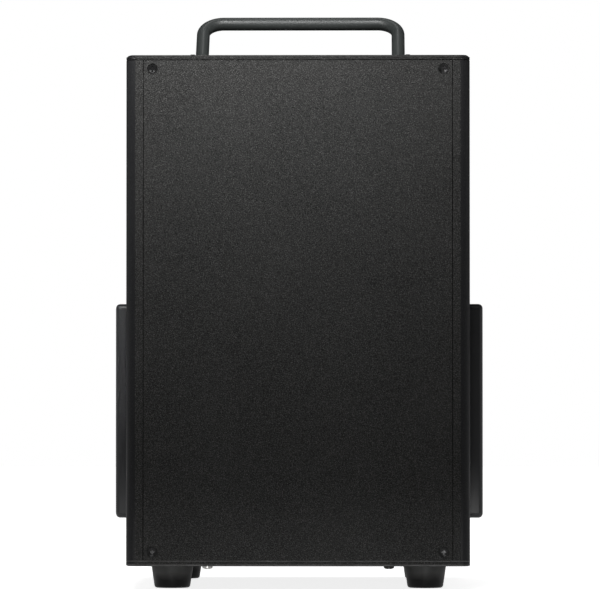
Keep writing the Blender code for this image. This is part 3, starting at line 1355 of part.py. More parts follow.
def dmx_out():
    """Signal outlet: a ring groove round an insert with three holes, and a bay for the tab."""
    shell = plug_shell("dmx_out")
    top = PLUG_FLANGE_WALL + CUT_PAST
    profile = [(PLUG_INSERT, -PLUG_BORE_DEPTH), (PLUG_BORE, -PLUG_BORE_DEPTH), (PLUG_BORE, top),
               (PLUG_INSERT, top)]
    cut(shell, turned("dmx_out_groove", profile, satin_black(), hollow=True))
    holes = []
    for turn in (-30.0, 90.0, 210.0):
        spot = arc((0.0, 0.0), PLUG_HOLE_CIRCLE, turn, turn, 1)[0]
        holes.append((circle(PLUG_HOLE_RADIUS, 8, spot), -PLUG_BORE_DEPTH, top))
    bay = centred(TAB_WIDTH + 2 * GAP, TAB_HEIGHT + 2 * GAP, (0.0, TAB_RISE))
    holes.append((bay, GAP - CUT_PAST, top))
    cut(shell, several("dmx_out_holes", holes, satin_black()))
    return place(shell, (-SIGNAL_SPREAD / 2, REAR_Y, SIGNAL_Z), "rear")


def dmx_release_tab():
    tab = block("dmx_release_tab", (-TAB_WIDTH / 2, -TAB_HEIGHT / 2, -TAB_SINK),
                (TAB_WIDTH / 2, TAB_HEIGHT / 2, PLUG_FLANGE_WALL + TAB_PROUD), bright_steel())
    return place(tab, (-SIGNAL_SPREAD / 2, REAR_Y, SIGNAL_Z + TAB_RISE), "rear")


def clear_scene():
    for item in list(bpy.data.objects):
        bpy.data.objects.remove(item, do_unlink=True)


def build():
    clear_scene()
    front_panel()
    front_screws()
    for label, side in (("left", -1), ("right", 1)):
        side_panel(f"{label}_side_panel", side)
        fan_cowl(label, side)
        fan_frame(label, side)
        fan_rotor(label, side)
        handle_bracket(label, side)
    top_panel()
    bottom_plate()
    underside_screws()
    corner_posts()
    deck()
    feet()
    handle()
    power_supply()
    blower()
    spark_nozzle()
    spark_tube()
    coil_sleeve()
    induction_coil()
    hopper()
    hopper_lid()
    lid_hinge_pin()
    auger_barrel()
    feed_auger()
    feed_gearmotor()
    heating_driver()
    rear_panel()
    control_board()
    display_window()
    menu_buttons()
    power_inlet()
    fuse_drawer()
    power_outlet()
    rocker_switch()
    dmx_in()
    dmx_out()
    dmx_release_tab()


build()
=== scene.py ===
"""Looks of a cold spark machine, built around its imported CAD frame.

Metres, +Z up; the plain face looks along -Y and the control face along +Y. New pieces are
surfaces: rings of points worked out as whole arrays and skinned into faces. A piece on a wall is
worked out as a viewer in front of that wall sees it, x to the right, y up and z towards the viewer.
Profiles and tables that are multiplied by MM are written in millimetres.
"""
import json
import math

import bmesh
import bpy
import numpy as np
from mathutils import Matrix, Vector

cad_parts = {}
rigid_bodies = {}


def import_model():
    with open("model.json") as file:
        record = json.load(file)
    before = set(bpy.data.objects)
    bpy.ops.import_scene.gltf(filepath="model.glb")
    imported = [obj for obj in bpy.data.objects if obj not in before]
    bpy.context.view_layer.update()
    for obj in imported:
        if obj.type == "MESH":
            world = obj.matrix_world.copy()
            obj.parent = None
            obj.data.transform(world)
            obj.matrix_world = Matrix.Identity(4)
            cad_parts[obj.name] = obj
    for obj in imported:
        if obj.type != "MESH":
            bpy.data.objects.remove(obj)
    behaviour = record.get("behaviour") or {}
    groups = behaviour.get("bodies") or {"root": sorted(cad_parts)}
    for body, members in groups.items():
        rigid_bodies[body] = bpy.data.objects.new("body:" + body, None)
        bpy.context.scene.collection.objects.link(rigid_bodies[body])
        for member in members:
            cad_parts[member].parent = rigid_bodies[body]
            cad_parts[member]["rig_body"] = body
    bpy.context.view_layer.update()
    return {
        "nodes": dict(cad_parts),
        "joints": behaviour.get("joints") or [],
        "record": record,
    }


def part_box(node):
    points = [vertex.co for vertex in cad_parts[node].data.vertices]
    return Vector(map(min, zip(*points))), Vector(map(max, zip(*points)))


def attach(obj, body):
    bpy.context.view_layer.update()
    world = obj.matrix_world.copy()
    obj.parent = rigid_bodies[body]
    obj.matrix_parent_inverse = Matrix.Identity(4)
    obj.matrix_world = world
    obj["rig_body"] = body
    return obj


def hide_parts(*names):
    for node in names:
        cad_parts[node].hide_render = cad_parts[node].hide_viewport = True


MM = 0.001
# Each wall's own right, up and outward directions in the machine's frame
WALLS = {
    "up": np.array([[1, 0, 0], [0, 1, 0], [0, 0, 1]], float),
    "down": np.array([[1, 0, 0], [0, -1, 0], [0, 0, -1]], float),
    "front": np.array([[1, 0, 0], [0, 0, 1], [0, -1, 0]], float),
    "rear": np.array([[-1, 0, 0], [0, 0, 1], [0, 1, 0]], float),
    "left": np.array([[0, -1, 0], [0, 0, 1], [-1, 0, 0]], float),
    "right": np.array([[0, 1, 0], [0, 0, 1], [1, 0, 0]], float),
}
SIDES = ("left", "right")
CORNERS = ("top_left", "top_right", "bottom_left", "bottom_right")

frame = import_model()
SLOT_OF = {part["node"]: part["material_slot"] for part in frame["record"]["subparts"]}


def middle_of(name):
    """The middle of a CAD piece's box."""
    low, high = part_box(name)
    return (low + high) / 2


def pivot_of(name):
    """The point that a joint turns about."""
    return next(np.asarray(joint["pos_m"], float) for joint in frame["joints"] if joint["name"] == name)


# Shells: arrays of points with lists of faces

def facing_out(points, faces):
    """Turns all the faces round when the shell's signed volume, its sum of p0.(p1 x p2), is
    negative."""
    corners = np.array([(face[0], face[k], face[k + 1])
                        for face in faces for k in range(1, len(face) - 1)])
    first, second, third = (points[corners[:, k]] for k in range(3))
    if np.einsum("ij,ij->i", first, np.cross(second, third)).sum() < 0:
        faces = [face[::-1] for face in faces]
    return points, faces


def skin(rings, loop=False):
    """Quads between neighbouring rings of an array (rings, points, 3); a loop joins its last ring
    to its first, and any other row of rings is closed by a cap at each end."""
    count, around = rings.shape[:2]
    index = np.arange(count * around).reshape(count, around)
    low = index if loop else index[:-1]
    high = np.roll(index, -1, 0) if loop else index[1:]
    quads = np.stack([low, np.roll(low, -1, 1), np.roll(high, -1, 1), high], -1).reshape(-1, 4)
    faces = quads.tolist()
    if not loop:
        faces += [index[0][::-1].tolist(), index[-1].tolist()]
    return facing_out(rings.reshape(-1, 3), faces)


def placed(shell, spot, wall="up"):
    """Carries a shell from a wall's own frame to a spot in the machine's frame."""
    points, faces = shell
    return points @ WALLS[wall] + np.asarray(spot, float), faces


def tipped(shell, angle, spot=(0.0, 0.0, 0.0)):
    """Turns a shell about the X axis and moves it to a spot."""
    points, faces = shell
    cosine, sine = math.cos(angle), math.sin(angle)
    turn = np.array([[1, 0, 0], [0, cosine, sine], [0, -sine, cosine]], float)
    return points @ turn + np.asarray(spot, float), faces


def circle(radius, sides, centre=(0.0, 0.0)):
    """Points (x, y) = centre + radius (cos t, sin t), evenly round."""
    turn = np.linspace(0.0, math.tau, sides, endpoint=False)
    return np.stack([centre[0] + radius * np.cos(turn), centre[1] + radius * np.sin(turn)], -1)


def rounded_outline(width, height, radius, steps, centre=(0.0, 0.0)):
    """Points and outward normals of a rounded rectangle: four quarter circles of one radius."""
    corner = np.arange(4)[:, None] * math.pi / 2
    turn = (np.linspace(0.0, math.pi / 2, steps + 1) + corner).reshape(-1)
    normal = np.stack([np.cos(turn), np.sin(turn)], -1)
    side = np.repeat(np.array([[1, 1], [-1, 1], [-1, -1], [1, -1]], float), steps + 1, 0)
    middle = side * (np.array([width, height]) / 2 - radius)
    return middle + radius * normal + np.asarray(centre), normal


def stacked(outline, profile):
    """Rings of an outline (points, normals), moved in by each inset and set at each height of a
    profile of (inset, height)."""
    points, normals = outline
    inset, height = np.asarray(profile, float).T
    flat = points[None] - normals[None] * inset[:, None, None]
    tall = np.broadcast_to(height[:, None, None], (*flat.shape[:2], 1))
    return np.concatenate([flat, tall], -1)


def lathe(profile, sides):
    """Rings of radius r at height z for each (r, z) of a profile, turned about Z."""
    radius, height = np.asarray(profile, float).T
    flat = radius[:, None, None] * circle(1.0, sides)[None]
    tall = np.broadcast_to(height[:, None, None], (len(radius), sides, 1))
    return np.concatenate([flat, tall], -1)


def turned_piece(profile, sides, loop=False):
    """The skin of a profile in millimetres, turned about Z."""
    return skin(lathe(np.array(profile) * MM, sides), loop)


def lying(rings):
    """Rings turned about Z laid along X instead: (x, y, z) becomes (z, x, y)."""
    return rings[..., [2, 0, 1]]


def quarter(radius, top, steps):
    """Inset and height round an edge: inset r(1 - cos t), height r(1 - sin t) below the top."""
    turn = np.linspace(0.0, math.pi / 2, steps + 1)
    return [(radius * (1 - math.cos(t)), top - radius * (1 - math.sin(t))) for t in turn]


def rounded_rim(reach, radius, top, steps):
    """Radius and height round the top edge of a turned wall, whose own radius is its reach."""
    return [(reach - inset, height) for inset, height in quarter(radius, top, steps)]


def tube(path, radii, across, sides):
    """Carries a circle of its own radius along each point of a path; across never lies along it."""
    along = np.gradient(path, axis=0)
    along /= np.linalg.norm(along, axis=1, keepdims=True)
    first = np.cross(np.asarray(across, float), along)
    first /= np.linalg.norm(first, axis=1, keepdims=True)
    second = np.cross(along, first)
    ring = circle(1.0, sides)
    aside = first[:, None] * ring[None, :, :1] + second[:, None] * ring[None, :, 1:]
    return path[:, None] + aside * np.asarray(radii, float)[:, None, None]


def block(low, high, radius):
    """A box between two corners: its top rim is rounded by a radius, and its upright edges by a
    fifth more."""
    low, high = np.asarray(low, float), np.asarray(high, float)
    size, middle = high - low, (high + low) / 2
    outline = rounded_outline(size[0], size[1], radius * 1.2, 3, middle[:2])
    return skin(stacked(outline, [(0.0, low[2])] + quarter(radius, high[2], 3)))


def added(name, data):
    """A new object with its data, linked into the scene."""
    made = bpy.data.objects.new(name, data)
    bpy.context.scene.collection.objects.link(made)
    return made


def piece(name, shells, slot, body="casing", look=None, sharp=35.0):
    """One object from several shells, its faces soft up to a sharp angle, riding on its body. It
    wears its slot's look when no other is given."""
    offsets = np.cumsum([0] + [len(points) for points, _ in shells])
    faces = [[corner + int(offset) for corner in face]
             for (_, shell), offset in zip(shells, offsets) for face in shell]
    mesh = bpy.data.meshes.new(name)
    mesh.from_pydata(np.concatenate([points for points, _ in shells]).tolist(), [], faces)
    mesh.shade_smooth()
    mesh.set_sharp_from_angle(angle=math.radians(sharp))
    mesh.materials.append(look or LOOKS[slot])
    made = added(name, mesh)
    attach(made, body)
    return made


# Shader parts

NOISE_LOW, NOISE_HIGH = 0.3, 0.7
GRAIN_DEPTH = 0.1 * MM
RIPPLE_DEPTH = 0.2 * MM
WHITE = (1.0, 1.0, 1.0, 1.0)


def shader_of(name, colour, roughness, metallic=0.0, specular=0.5):
    """A new material with its Principled shader; even values sit on the shader's own sockets."""
    made = bpy.data.materials.new(name)
    made.use_nodes = True
    tree = made.node_tree
    shader = tree.nodes["Principled BSDF"]
    shader.inputs["Base Color"].default_value = (*colour, 1.0)
    shader.inputs["Roughness"].default_value = roughness
    shader.inputs["Metallic"].default_value = metallic
    shader.inputs["Specular IOR Level"].default_value = specular
    return made, tree, shader


def node(tree, kind, inputs=(), **settings):
    """Adds a node, sets its settings, and links or fills its inputs by name or number."""
    made = tree.nodes.new(f"ShaderNode{kind}")
    for key, value in settings.items():
        setattr(made, key, value)
    for key, value in dict(inputs).items():
        if isinstance(value, bpy.types.NodeSocket):
            tree.links.new(value, made.inputs[key])
        else:
            made.inputs[key].default_value = value
    return made


def object_point(tree):
    """The shaded point in the object's own frame."""
    return node(tree, "TexCoord").outputs["Object"]


def along_axis(tree, point, axis):
    """One coordinate of a point."""
    return node(tree, "SeparateXYZ", {"Vector": point}).outputs[axis]


def noise(tree, point, per_metre, detail=3.0):
    """Cloudy noise from 0 to 1 with so many waves per metre, and finer ones with more detail."""
    return node(tree, "TexNoise", {"Vector": point, "Scale": per_metre, "Detail": detail}).outputs["Fac"]


def cells(tree, point, per_metre):
    """Cells round scattered points, so many per metre: their distances and their colours."""
    return node(tree, "TexVoronoi", {"Vector": point, "Scale": per_metre}).outputs


def spread(tree, value, low, high, out_low=0.0, out_high=1.0):
    """Maps a value from low..high to out_low..out_high, clamped."""
    return node(tree, "MapRange", {"Value": value, "From Min": low, "From Max": high,
                                   "To Min": out_low, "To Max": out_high}).outputs["Result"]


def evened(tree, value, out_low=0.0, out_high=1.0):
    """Maps the middle of a noise's range, where nearly all of it lies, to out_low..out_high."""
    return spread(tree, value, NOISE_LOW, NOISE_HIGH, out_low, out_high)


def maths(tree, operation, first, second=0.0):
    """A sum, product or the like of two values."""
    return node(tree, "Math", {0: first, 1: second}, operation=operation).outputs["Value"]


def mixed(tree, share, first, second):
    """A colour between two colours by a share."""
    def rgba(value):
        return value if isinstance(value, bpy.types.NodeSocket) else (*value, 1.0)
    return node(tree, "Mix", {"Factor": share, 6: rgba(first), 7: rgba(second)},
                data_type="RGBA").outputs[2]


def between(tree, share, first, second):
    """A value between two values by a share."""
    return node(tree, "Mix", {"Factor": share, 2: first, 3: second}).outputs[0]


def times(colour, share):
    """A colour made darker or lighter by a share."""
    return tuple(share * channel for channel in colour)


def dressed(made, shader, tone, gloss=None, bumps=None):
    """Links a tone, a roughness and bumps, given as (height, strength, depth), to the shader."""
    tree = made.node_tree
    tree.links.new(tone, shader.inputs["Base Color"])
    if gloss is not None:
        tree.links.new(gloss, shader.inputs["Roughness"])
    if bumps is not None:
        height, strength, depth = bumps
        bump = node(tree, "Bump", {"Height": height, "Strength": strength, "Distance": depth})
        tree.links.new(bump.outputs["Normal"], shader.inputs["Normal"])
    return made


# Materials

COAT_SHINE = 0.03
COAT_DEPTH = 0.35 * MM
PEEL_DARK, PEEL_LIGHT, CLOUD_LIGHT, CLOUD_SHARE = 0.38, 1.47, 1.6, 0.22
PEEL_GLOSS = 0.10
# Beyond the bends: a darker colour that is painted shade for sides turned from the light, and the
# smoother, shinier paint's share, roughness and shine
SHADED_SMOOTH_BLACK = (0.0068, 0.0070, 0.0079)
SMOOTH_SHARE, SMOOTH_ROUGHNESS, SMOOTH_SHINE = 0.82, 0.40, 0.11
# Seams: painted shade, a dark line where each fold lies in shade
SEAM_SHADE_BLACK, SEAM_SHARE, SEAM_FADE = (0.004, 0.004, 0.004), 0.6, 0.1 * MM


def powder_coat(name, colour, glint, roughness, bend=None, seams=()):
    """Baked powder paint: orange peel about half a millimetre wide, finer pits and small light
    flecks. Beyond a bend, a distance from the machine's middle plane, the paint has flowed out
    almost smooth and is painted darker, painted shade for sides that turn from the light. Each
    seam, a height and half a width, is painted dark, painted shade for the shade in its fold."""
    made, tree, shader = shader_of(name, colour, roughness, specular=COAT_SHINE)
    point = object_point(tree)
    peel = noise(tree, point, per_metre=1900.0, detail=2.0)
    pits = cells(tree, point, per_metre=2300.0)["Distance"]
    cloud = noise(tree, point, per_metre=26.0, detail=4.0)
    fleck = spread(tree, noise(tree, point, per_metre=2300.0, detail=1.0), 0.54, 0.86)
    tone = mixed(tree, spread(tree, peel, 0.32, 0.68), times(colour, PEEL_DARK),
                 times(colour, PEEL_LIGHT))
    tone = mixed(tree, maths(tree, "MULTIPLY", evened(tree, cloud), CLOUD_SHARE), tone,
                 times(colour, CLOUD_LIGHT))
    tone = mixed(tree, fleck, tone, glint)
    height = maths(tree, "ADD", peel, maths(tree, "MULTIPLY", pits, 0.5))
    gloss = evened(tree, peel, roughness - PEEL_GLOSS, roughness + PEEL_GLOSS)
    if bend:
        aside = maths(tree, "ABSOLUTE", along_axis(tree, point, "X"))
        # Painted shade beyond the bend: darker and smoother there
        smooth = maths(tree, "MULTIPLY", maths(tree, "GREATER_THAN", aside, bend), SMOOTH_SHARE)
        tone = mixed(tree, smooth, tone, SHADED_SMOOTH_BLACK)
        height = maths(tree, "MULTIPLY", height, maths(tree, "SUBTRACT", 1.0, smooth))
        gloss = between(tree, smooth, gloss, SMOOTH_ROUGHNESS)
        shine = between(tree, smooth, COAT_SHINE, SMOOTH_SHINE)
        tree.links.new(shine, shader.inputs["Specular IOR Level"])
    # Painted shade along each seam
    for seam, half in seams:
        off = maths(tree, "ABSOLUTE", maths(tree, "SUBTRACT", along_axis(tree, point, "Z"), seam))
        in_seam_shade = spread(tree, off, half, half + SEAM_FADE, SEAM_SHARE, 0.0)
        tone = mixed(tree, in_seam_shade, tone, SEAM_SHADE_BLACK)
    return dressed(made, shader, tone, gloss, (height, 0.55, COAT_DEPTH))


RUBBED_WIDTH = 0.9 * MM
RUBBED_SHARE = 0.5


def satin_paint(name, colour, roughness, specular, wear=(0.16, 0.16, 0.16)):
    """Smooth satin paint: faint ripple, dust mottling and lighter, rubbed edges. An edge is where
    the surface's direction differs from that of the same surface rounded over."""
    made, tree, shader = shader_of(name, colour, roughness, specular=specular)
    point = object_point(tree)
    ripple = noise(tree, point, per_metre=420.0)
    cloud = noise(tree, point, per_metre=35.0, detail=5.0)
    rounded = node(tree, "Bevel", {"Radius": RUBBED_WIDTH}, samples=4).outputs["Normal"]
    flat = node(tree, "NewGeometry").outputs["Normal"]
    likeness = node(tree, "VectorMath", {0: rounded, 1: flat}, operation="DOT_PRODUCT")
    edge = spread(tree, likeness.outputs["Value"], 0.985, 0.90, 0.0, RUBBED_SHARE)
    patches = spread(tree, noise(tree, point, per_metre=180.0), 0.45, 0.65)
    rubbed = maths(tree, "MULTIPLY", edge, patches)
    tone = mixed(tree, evened(tree, cloud), times(colour, 0.85), times(colour, 1.18))
    return dressed(made, shader, mixed(tree, rubbed, tone, wear),
                   evened(tree, cloud, roughness - 0.05, roughness + 0.08), (ripple, 0.10, RIPPLE_DEPTH))


def moulded(name, colour, roughness, grain=0.2):
    """Moulded plastic: fine spark-eroded grain, slight blooming."""
    made, tree, shader = shader_of(name, colour, roughness)
    point = object_point(tree)
    fine = noise(tree, point, per_metre=2600.0, detail=2.0)
    bloom = noise(tree, point, per_metre=70.0, detail=5.0)
    tone = mixed(tree, spread(tree, bloom, 0.3, 0.75), times(colour, 0.8), times(colour, 1.35))
    return dressed(made, shader, tone, evened(tree, bloom, roughness - 0.06, roughness + 0.08),
                   (fine, grain, GRAIN_DEPTH))


# Painted light and shade on the feet: the toe's painted shade, the rubber's lighter tones above it, and
# the height and raggedness of the line between them
TOE_PAINTED_SHADE, RUBBER_DARK, RUBBER_PALE = (0.0040,) * 3, (0.050, 0.050, 0.049), (0.078, 0.078, 0.076)
TOE_LOW, TOE_HIGH, TOE_RAG = 7.0 * MM, 11.0 * MM, 6.0 * MM


def foot_rubber():
    """Grey-black rubber: mould grain, bloom in clouds, and painted light and shade: lighter above a
    ragged line, as lit, and a toe darker below it, as in shade.
    """
    made, tree, shader = shader_of("foot_rubber", (0.022, 0.022, 0.021), 0.50, specular=0.12)
    point = object_point(tree)
    fine = noise(tree, point, per_metre=2600.0, detail=2.0)
    bloom = noise(tree, point, per_metre=90.0, detail=5.0)
    rag = maths(tree, "MULTIPLY", noise(tree, point, per_metre=60.0, detail=2.0), TOE_RAG)
    # the lit upper part and the painted shade of the toe, split at a ragged line
    lit_above_toe = spread(tree, maths(tree, "ADD", along_axis(tree, point, "Z"), rag), TOE_LOW, TOE_HIGH)
    light = mixed(tree, spread(tree, bloom, 0.3, 0.75), RUBBER_DARK, RUBBER_PALE)
    return dressed(made, shader, mixed(tree, lit_above_toe, TOE_PAINTED_SHADE, light),
                   evened(tree, bloom, 0.44, 0.58), (fine, 0.12, GRAIN_DEPTH))


def bare_metal(name, colour, roughness, per_metre, stain):
    """Drawn or brushed metal: noise with so many waves per metre along each axis, long along the
    grain and fine across it, and soft stains."""
    made, tree, shader = shader_of(name, colour, roughness, 1.0)
    point = object_point(tree)
    stretched = node(tree, "Mapping", {"Vector": point, "Scale": per_metre}).outputs["Vector"]
    lines = noise(tree, stretched, per_metre=1.0, detail=4.0)
    cloud = noise(tree, point, per_metre=60.0, detail=5.0)
    tone = mixed(tree, spread(tree, cloud, 0.5, 0.8, 0.0, 0.45), colour, stain)
    return dressed(made, shader, tone, evened(tree, lines, roughness - 0.08, roughness + 0.12),
                   (lines, 0.15, GRAIN_DEPTH))


def spangled_zinc():
    """Galvanised sheet: crystals about six millimetres wide that differ in tone and gloss."""
    made, tree, shader = shader_of("spangled_zinc", (0.42, 0.43, 0.44), 0.42, 1.0)
    point = object_point(tree)
    spangle = cells(tree, point, per_metre=160.0)["Color"]
    grey = node(tree, "RGBToBW", {"Color": spangle}).outputs["Val"]
    tone = mixed(tree, grey, (0.34, 0.35, 0.37), (0.50, 0.51, 0.52))
    return dressed(made, shader, tone, spread(tree, grey, 0.2, 0.8, 0.34, 0.52),
                   (noise(tree, point, per_metre=700.0), 0.08, RIPPLE_DEPTH))


def circuit_board():
    """Green solder mask with faint tracks: a brick lattice that shows where a noise is high."""
    mask_green = (0.012, 0.085, 0.035)
    made, tree, shader = shader_of("circuit_board", mask_green, 0.38)
    point = object_point(tree)
    lattice = node(tree, "TexBrick", {"Vector": point, "Scale": 420.0, "Mortar Size": 0.03,
                                      "Color1": (0, 0, 0, 1), "Color2": (0.25, 0.25, 0.25, 1),
                                      "Mortar": WHITE}).outputs["Color"]
    patches = spread(tree, noise(tree, point, per_metre=120.0), 0.45, 0.6)
    tracks = maths(tree, "MULTIPLY", lattice, patches)
    return dressed(made, shader, mixed(tree, tracks, mask_green, (0.03, 0.17, 0.07)),
                   bumps=(tracks, 0.2, GRAIN_DEPTH))


def smoked_pane():
    """Dark glossy pane: faint smears in its gloss."""
    made, tree, shader = shader_of("smoked_pane", (0.008, 0.008, 0.010), 0.10, specular=0.28)
    point = object_point(tree)
    smear = noise(tree, point, per_metre=90.0, detail=6.0)
    tone = mixed(tree, spread(tree, smear, 0.4, 0.8, 0.0, 0.6), (0.006, 0.006, 0.008),
                 (0.016, 0.016, 0.019))
    return dressed(made, shader, tone, spread(tree, smear, 0.35, 0.75, 0.06, 0.20),
                   (noise(tree, point, per_metre=300.0), 0.02, GRAIN_DEPTH))


# The coat's colour, its flecks' colour and its roughness; the sides' bends, beyond which shade is
# painted; the roof's two seams, painted with shade
COAT = ((0.0195, 0.0195, 0.0191), (0.115, 0.115, 0.111), 0.56)
BEND = 85.9 * MM
ROOF_SEAMS = [(280.37 * MM, 0.12 * MM), (281.55 * MM, 0.20 * MM)]
face_coat = powder_coat("face_coat", *COAT)
side_coat = powder_coat("side_coat", *COAT, BEND)
roof_coat = powder_coat("roof_coat", *COAT, BEND, ROOF_SEAMS)
# Near-black, nearly matt paint for the strips in the panel gaps: painted shade
seal_foam = satin_paint("seal_foam", (0.003, 0.003, 0.003), 0.85, 0.05, (0.004, 0.004, 0.004))
# Lighter satin paint for the floor plate's lips: painted highlight, with rubbed edges as wear
worn_edge = satin_paint("worn_edge", (0.042, 0.042, 0.041), 0.45, 0.20)
label_print = moulded("label_print", (0.46, 0.46, 0.45), 0.60, 0.1)
unlit_digit = moulded("unlit_digit", (0.030, 0.012, 0.011), 0.35, 0.05)
contact_brass = bare_metal("contact_brass", (0.62, 0.47, 0.22), 0.28, (800.0, 800.0, 800.0),
                           (0.40, 0.28, 0.12))
LOOKS = {
    "powder_coat": face_coat,
    "satin_black": satin_paint("satin_black", (0.018, 0.0185, 0.020), 0.34, 0.28),
    "handle_paint": satin_paint("handle_paint", (0.0168, 0.0186, 0.0181), 0.40, 0.20),
    "black_plastic": moulded("black_plastic", (0.016, 0.016, 0.017), 0.48),
    "black_rubber": foot_rubber(),
    "bright_steel": bare_metal("bright_steel", (0.36, 0.355, 0.345), 0.33, (60.0, 60.0, 1400.0),
                               (0.22, 0.21, 0.20)),
    "black_steel": satin_paint("black_steel", (0.0035, 0.0035, 0.0035), 0.32, 0.18,
                               (0.05, 0.05, 0.05)),
    "zinc_sheet": spangled_zinc(),
    "copper": bare_metal("enamelled_copper", (0.60, 0.22, 0.10), 0.30, (500.0, 500.0, 500.0),
                         (0.28, 0.10, 0.05)),
    "ceramic": moulded("ceramic", (0.60, 0.56, 0.48), 0.68, 0.5),
    "circuit_green": circuit_board(),
    "dark_window": smoked_pane(),
}

for node_name, cad in frame["nodes"].items():
    cad.data.materials.clear()
    cad.data.materials.append(LOOKS[SLOT_OF[node_name]])


# Pieces eased from the CAD solids

MERGED_WITHIN = 1e-6
FLAT_WITHIN = math.radians(0.3)
EASED_FROM = math.radians(30.0)


def eased(name, width, look=None):
    """The CAD piece merged, its flat faces joined, and its sharp edges rounded over by a width."""
    source = frame["nodes"][name]
    mesh = source.data.copy()
    shape = bmesh.new()
    shape.from_mesh(mesh)
    bmesh.ops.remove_doubles(shape, verts=shape.verts, dist=MERGED_WITHIN)
    bmesh.ops.dissolve_limit(shape, angle_limit=FLAT_WITHIN, verts=shape.verts, edges=shape.edges)
    shape.to_mesh(mesh)
    shape.free()
    mesh.shade_smooth()
    mesh.materials.clear()
    mesh.materials.append(look or LOOKS[SLOT_OF[name]])
    made = added(f"{name}_finished", mesh)
    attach(made, source["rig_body"])
    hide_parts(name)
    round_over = made.modifiers.new("edge", "BEVEL")
    round_over.width = width
    round_over.segments = 2
    round_over.limit_method = "ANGLE"
    round_over.angle_limit = EASED_FROM
    round_over.use_clamp_overlap = False
    made.modifiers.new("flat faces", "WEIGHTED_NORMAL").weight = 100


# Handle

HANDLE_SPAN = 107.4 * MM
HANDLE_ROD = 3.6 * MM
HANDLE_LENGTH = 35.6 * MM
HANDLE_BEND = 11.2 * MM
HANDLE_LEAN = math.radians(52.0)
HANDLE_DOME = np.radians([86.0, 70.0, 54.0, 38.0, 20.0])
STRAIGHT_RINGS, BEND_RINGS = 8, 25


def handle_bow():
    """A circle carried up one leg, round a quarter bend, along the bar and down again; its radius
    shrinks as the cosine over each domed end. The whole bow leans back about its pivot."""
    half, straight, domed = HANDLE_SPAN / 2, HANDLE_LENGTH - HANDLE_BEND, len(HANDLE_DOME)
    end = np.stack([np.full(domed, -half), -HANDLE_ROD * np.sin(HANDLE_DOME)], -1)
    leg = np.stack([np.full(STRAIGHT_RINGS, -half), np.linspace(0.0, straight, STRAIGHT_RINGS)], -1)
    turn = np.linspace(math.pi, math.pi / 2, BEND_RINGS)[1:]
    bow = np.stack([HANDLE_BEND - half + HANDLE_BEND * np.cos(turn),
                    straight + HANDLE_BEND * np.sin(turn)], -1)
    bar = np.stack([np.linspace(HANDLE_BEND - half, 0.0, STRAIGHT_RINGS)[1:],
                    np.full(STRAIGHT_RINGS - 1, HANDLE_LENGTH)], -1)
    left = np.concatenate([end, leg, bow, bar])
    right = left[-2::-1] * np.array([-1.0, 1.0])
    path = np.concatenate([left, right])
    path = np.stack([path[:, 0], np.zeros(len(path)), path[:, 1]], -1)
    radii = np.full(len(path), HANDLE_ROD)
    radii[:domed] = HANDLE_ROD * np.cos(HANDLE_DOME)
    radii[-domed:] = radii[:domed][::-1]
    shell = skin(tube(path, radii, (0.0, 1.0, 0.0), sides=48))
    made = piece("handle_bow", [tipped(shell, -HANDLE_LEAN, pivot_of("handle_fold"))],
                 "handle_paint", "handle")
    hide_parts("handle")


# Screws

CROSS_DEPTH = 0.62
CROSS_ARM, CROSS_REACH = 0.15, 0.60
CROSS_STEEP = 3.0


def screw_head(radius, height, dome=0.4, recess=CROSS_DEPTH):
    """Polar grid whose height is a dome, height (1 - dome (r/R)^2), less a cross recess: its depth
    falls off across each arm and towards the arm's end. The rim runs down to a cap below."""
    share = np.concatenate([np.linspace(1.0, 0.7, 5), np.linspace(0.66, 0.03, 16)])
    x, y = np.moveaxis(share[:, None, None] * circle(1.0, 48), -1, 0)
    across = np.minimum(abs(x), abs(y)) / CROSS_ARM
    along = np.maximum(abs(x), abs(y)) / CROSS_REACH
    sink = (np.clip((1.15 - across) * CROSS_STEEP, 0.0, 1.0)
            * np.clip((1.0 - along) * CROSS_STEEP, 0.0, 1.0))
    top = height * (1.0 - dome * share[:, None] ** 2) - recess * radius * sink * (1.0 - 0.45 * along)
    grid = np.stack([x * radius, y * radius, top], -1)
    rim, edge = grid[:1].copy(), grid[:1].copy()
    rim[..., 2] = -0.4 * radius
    edge[..., 2] -= 0.06 * radius
    grid[0, :, :2] *= 0.95
    return skin(np.concatenate([rim, edge, grid]))


def front_screws():
    """Black countersunk screws in the face's corners: each head is a dish, deepest in its middle."""
    for corner in CORNERS:
        name = f"front_screw_{corner}"
        low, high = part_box(name)
        spot = ((low.x + high.x) / 2, low.y, (low.z + high.z) / 2)
        shell = screw_head((high.x - low.x) / 2, -1.0 * MM, 1.0, 0.2)
        made = piece(f"{name}_head", [placed(shell, spot, "front")], "black_steel")
        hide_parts(name)


def underside_screws():
    """Pan heads below the bottom plate's front edge: the left one bright steel, painted light for a head
    that catches the light, and the right one black steel, painted shade.
    """
    # Bright and black steel here are a lit and a shaded look of the two heads
    for side, slot in (("left", "bright_steel"), ("right", "black_steel")):
        name = f"underside_screw_{side}"
        low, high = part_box(name)
        spot = ((low.x + high.x) / 2, (low.y + high.y) / 2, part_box("bottom_plate")[0].z - 0.2 * MM)
        shell = screw_head((high.x - low.x) / 2, spot[2] - low.z, 0.45)
        made = piece(f"{name}_head", [placed(shell, spot, "down")], slot)
        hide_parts(name)


COWL_SCREW_IN, LUG_SCREW_IN = (6.0 * MM, 6.5 * MM), (4.2 * MM, 3.0 * MM)
COWL_SCREW_SUNK = 0.1 * MM
LUG_THICK, FLANGE_THICK = 1.5 * MM, 2.0 * MM
NOZZLE_SCREW_RING = 23.2 * MM
MAINS_SCREW_ASIDE, MAINS_SCREW_UP, MAINS_PLATE = 20.0 * MM, 13.0 * MM, 2.5 * MM
SIGNAL_SCREWS, SIGNAL_PLATE = ((-9.9 * MM, 12.3 * MM), (9.9 * MM, -12.3 * MM)), 2.0 * MM


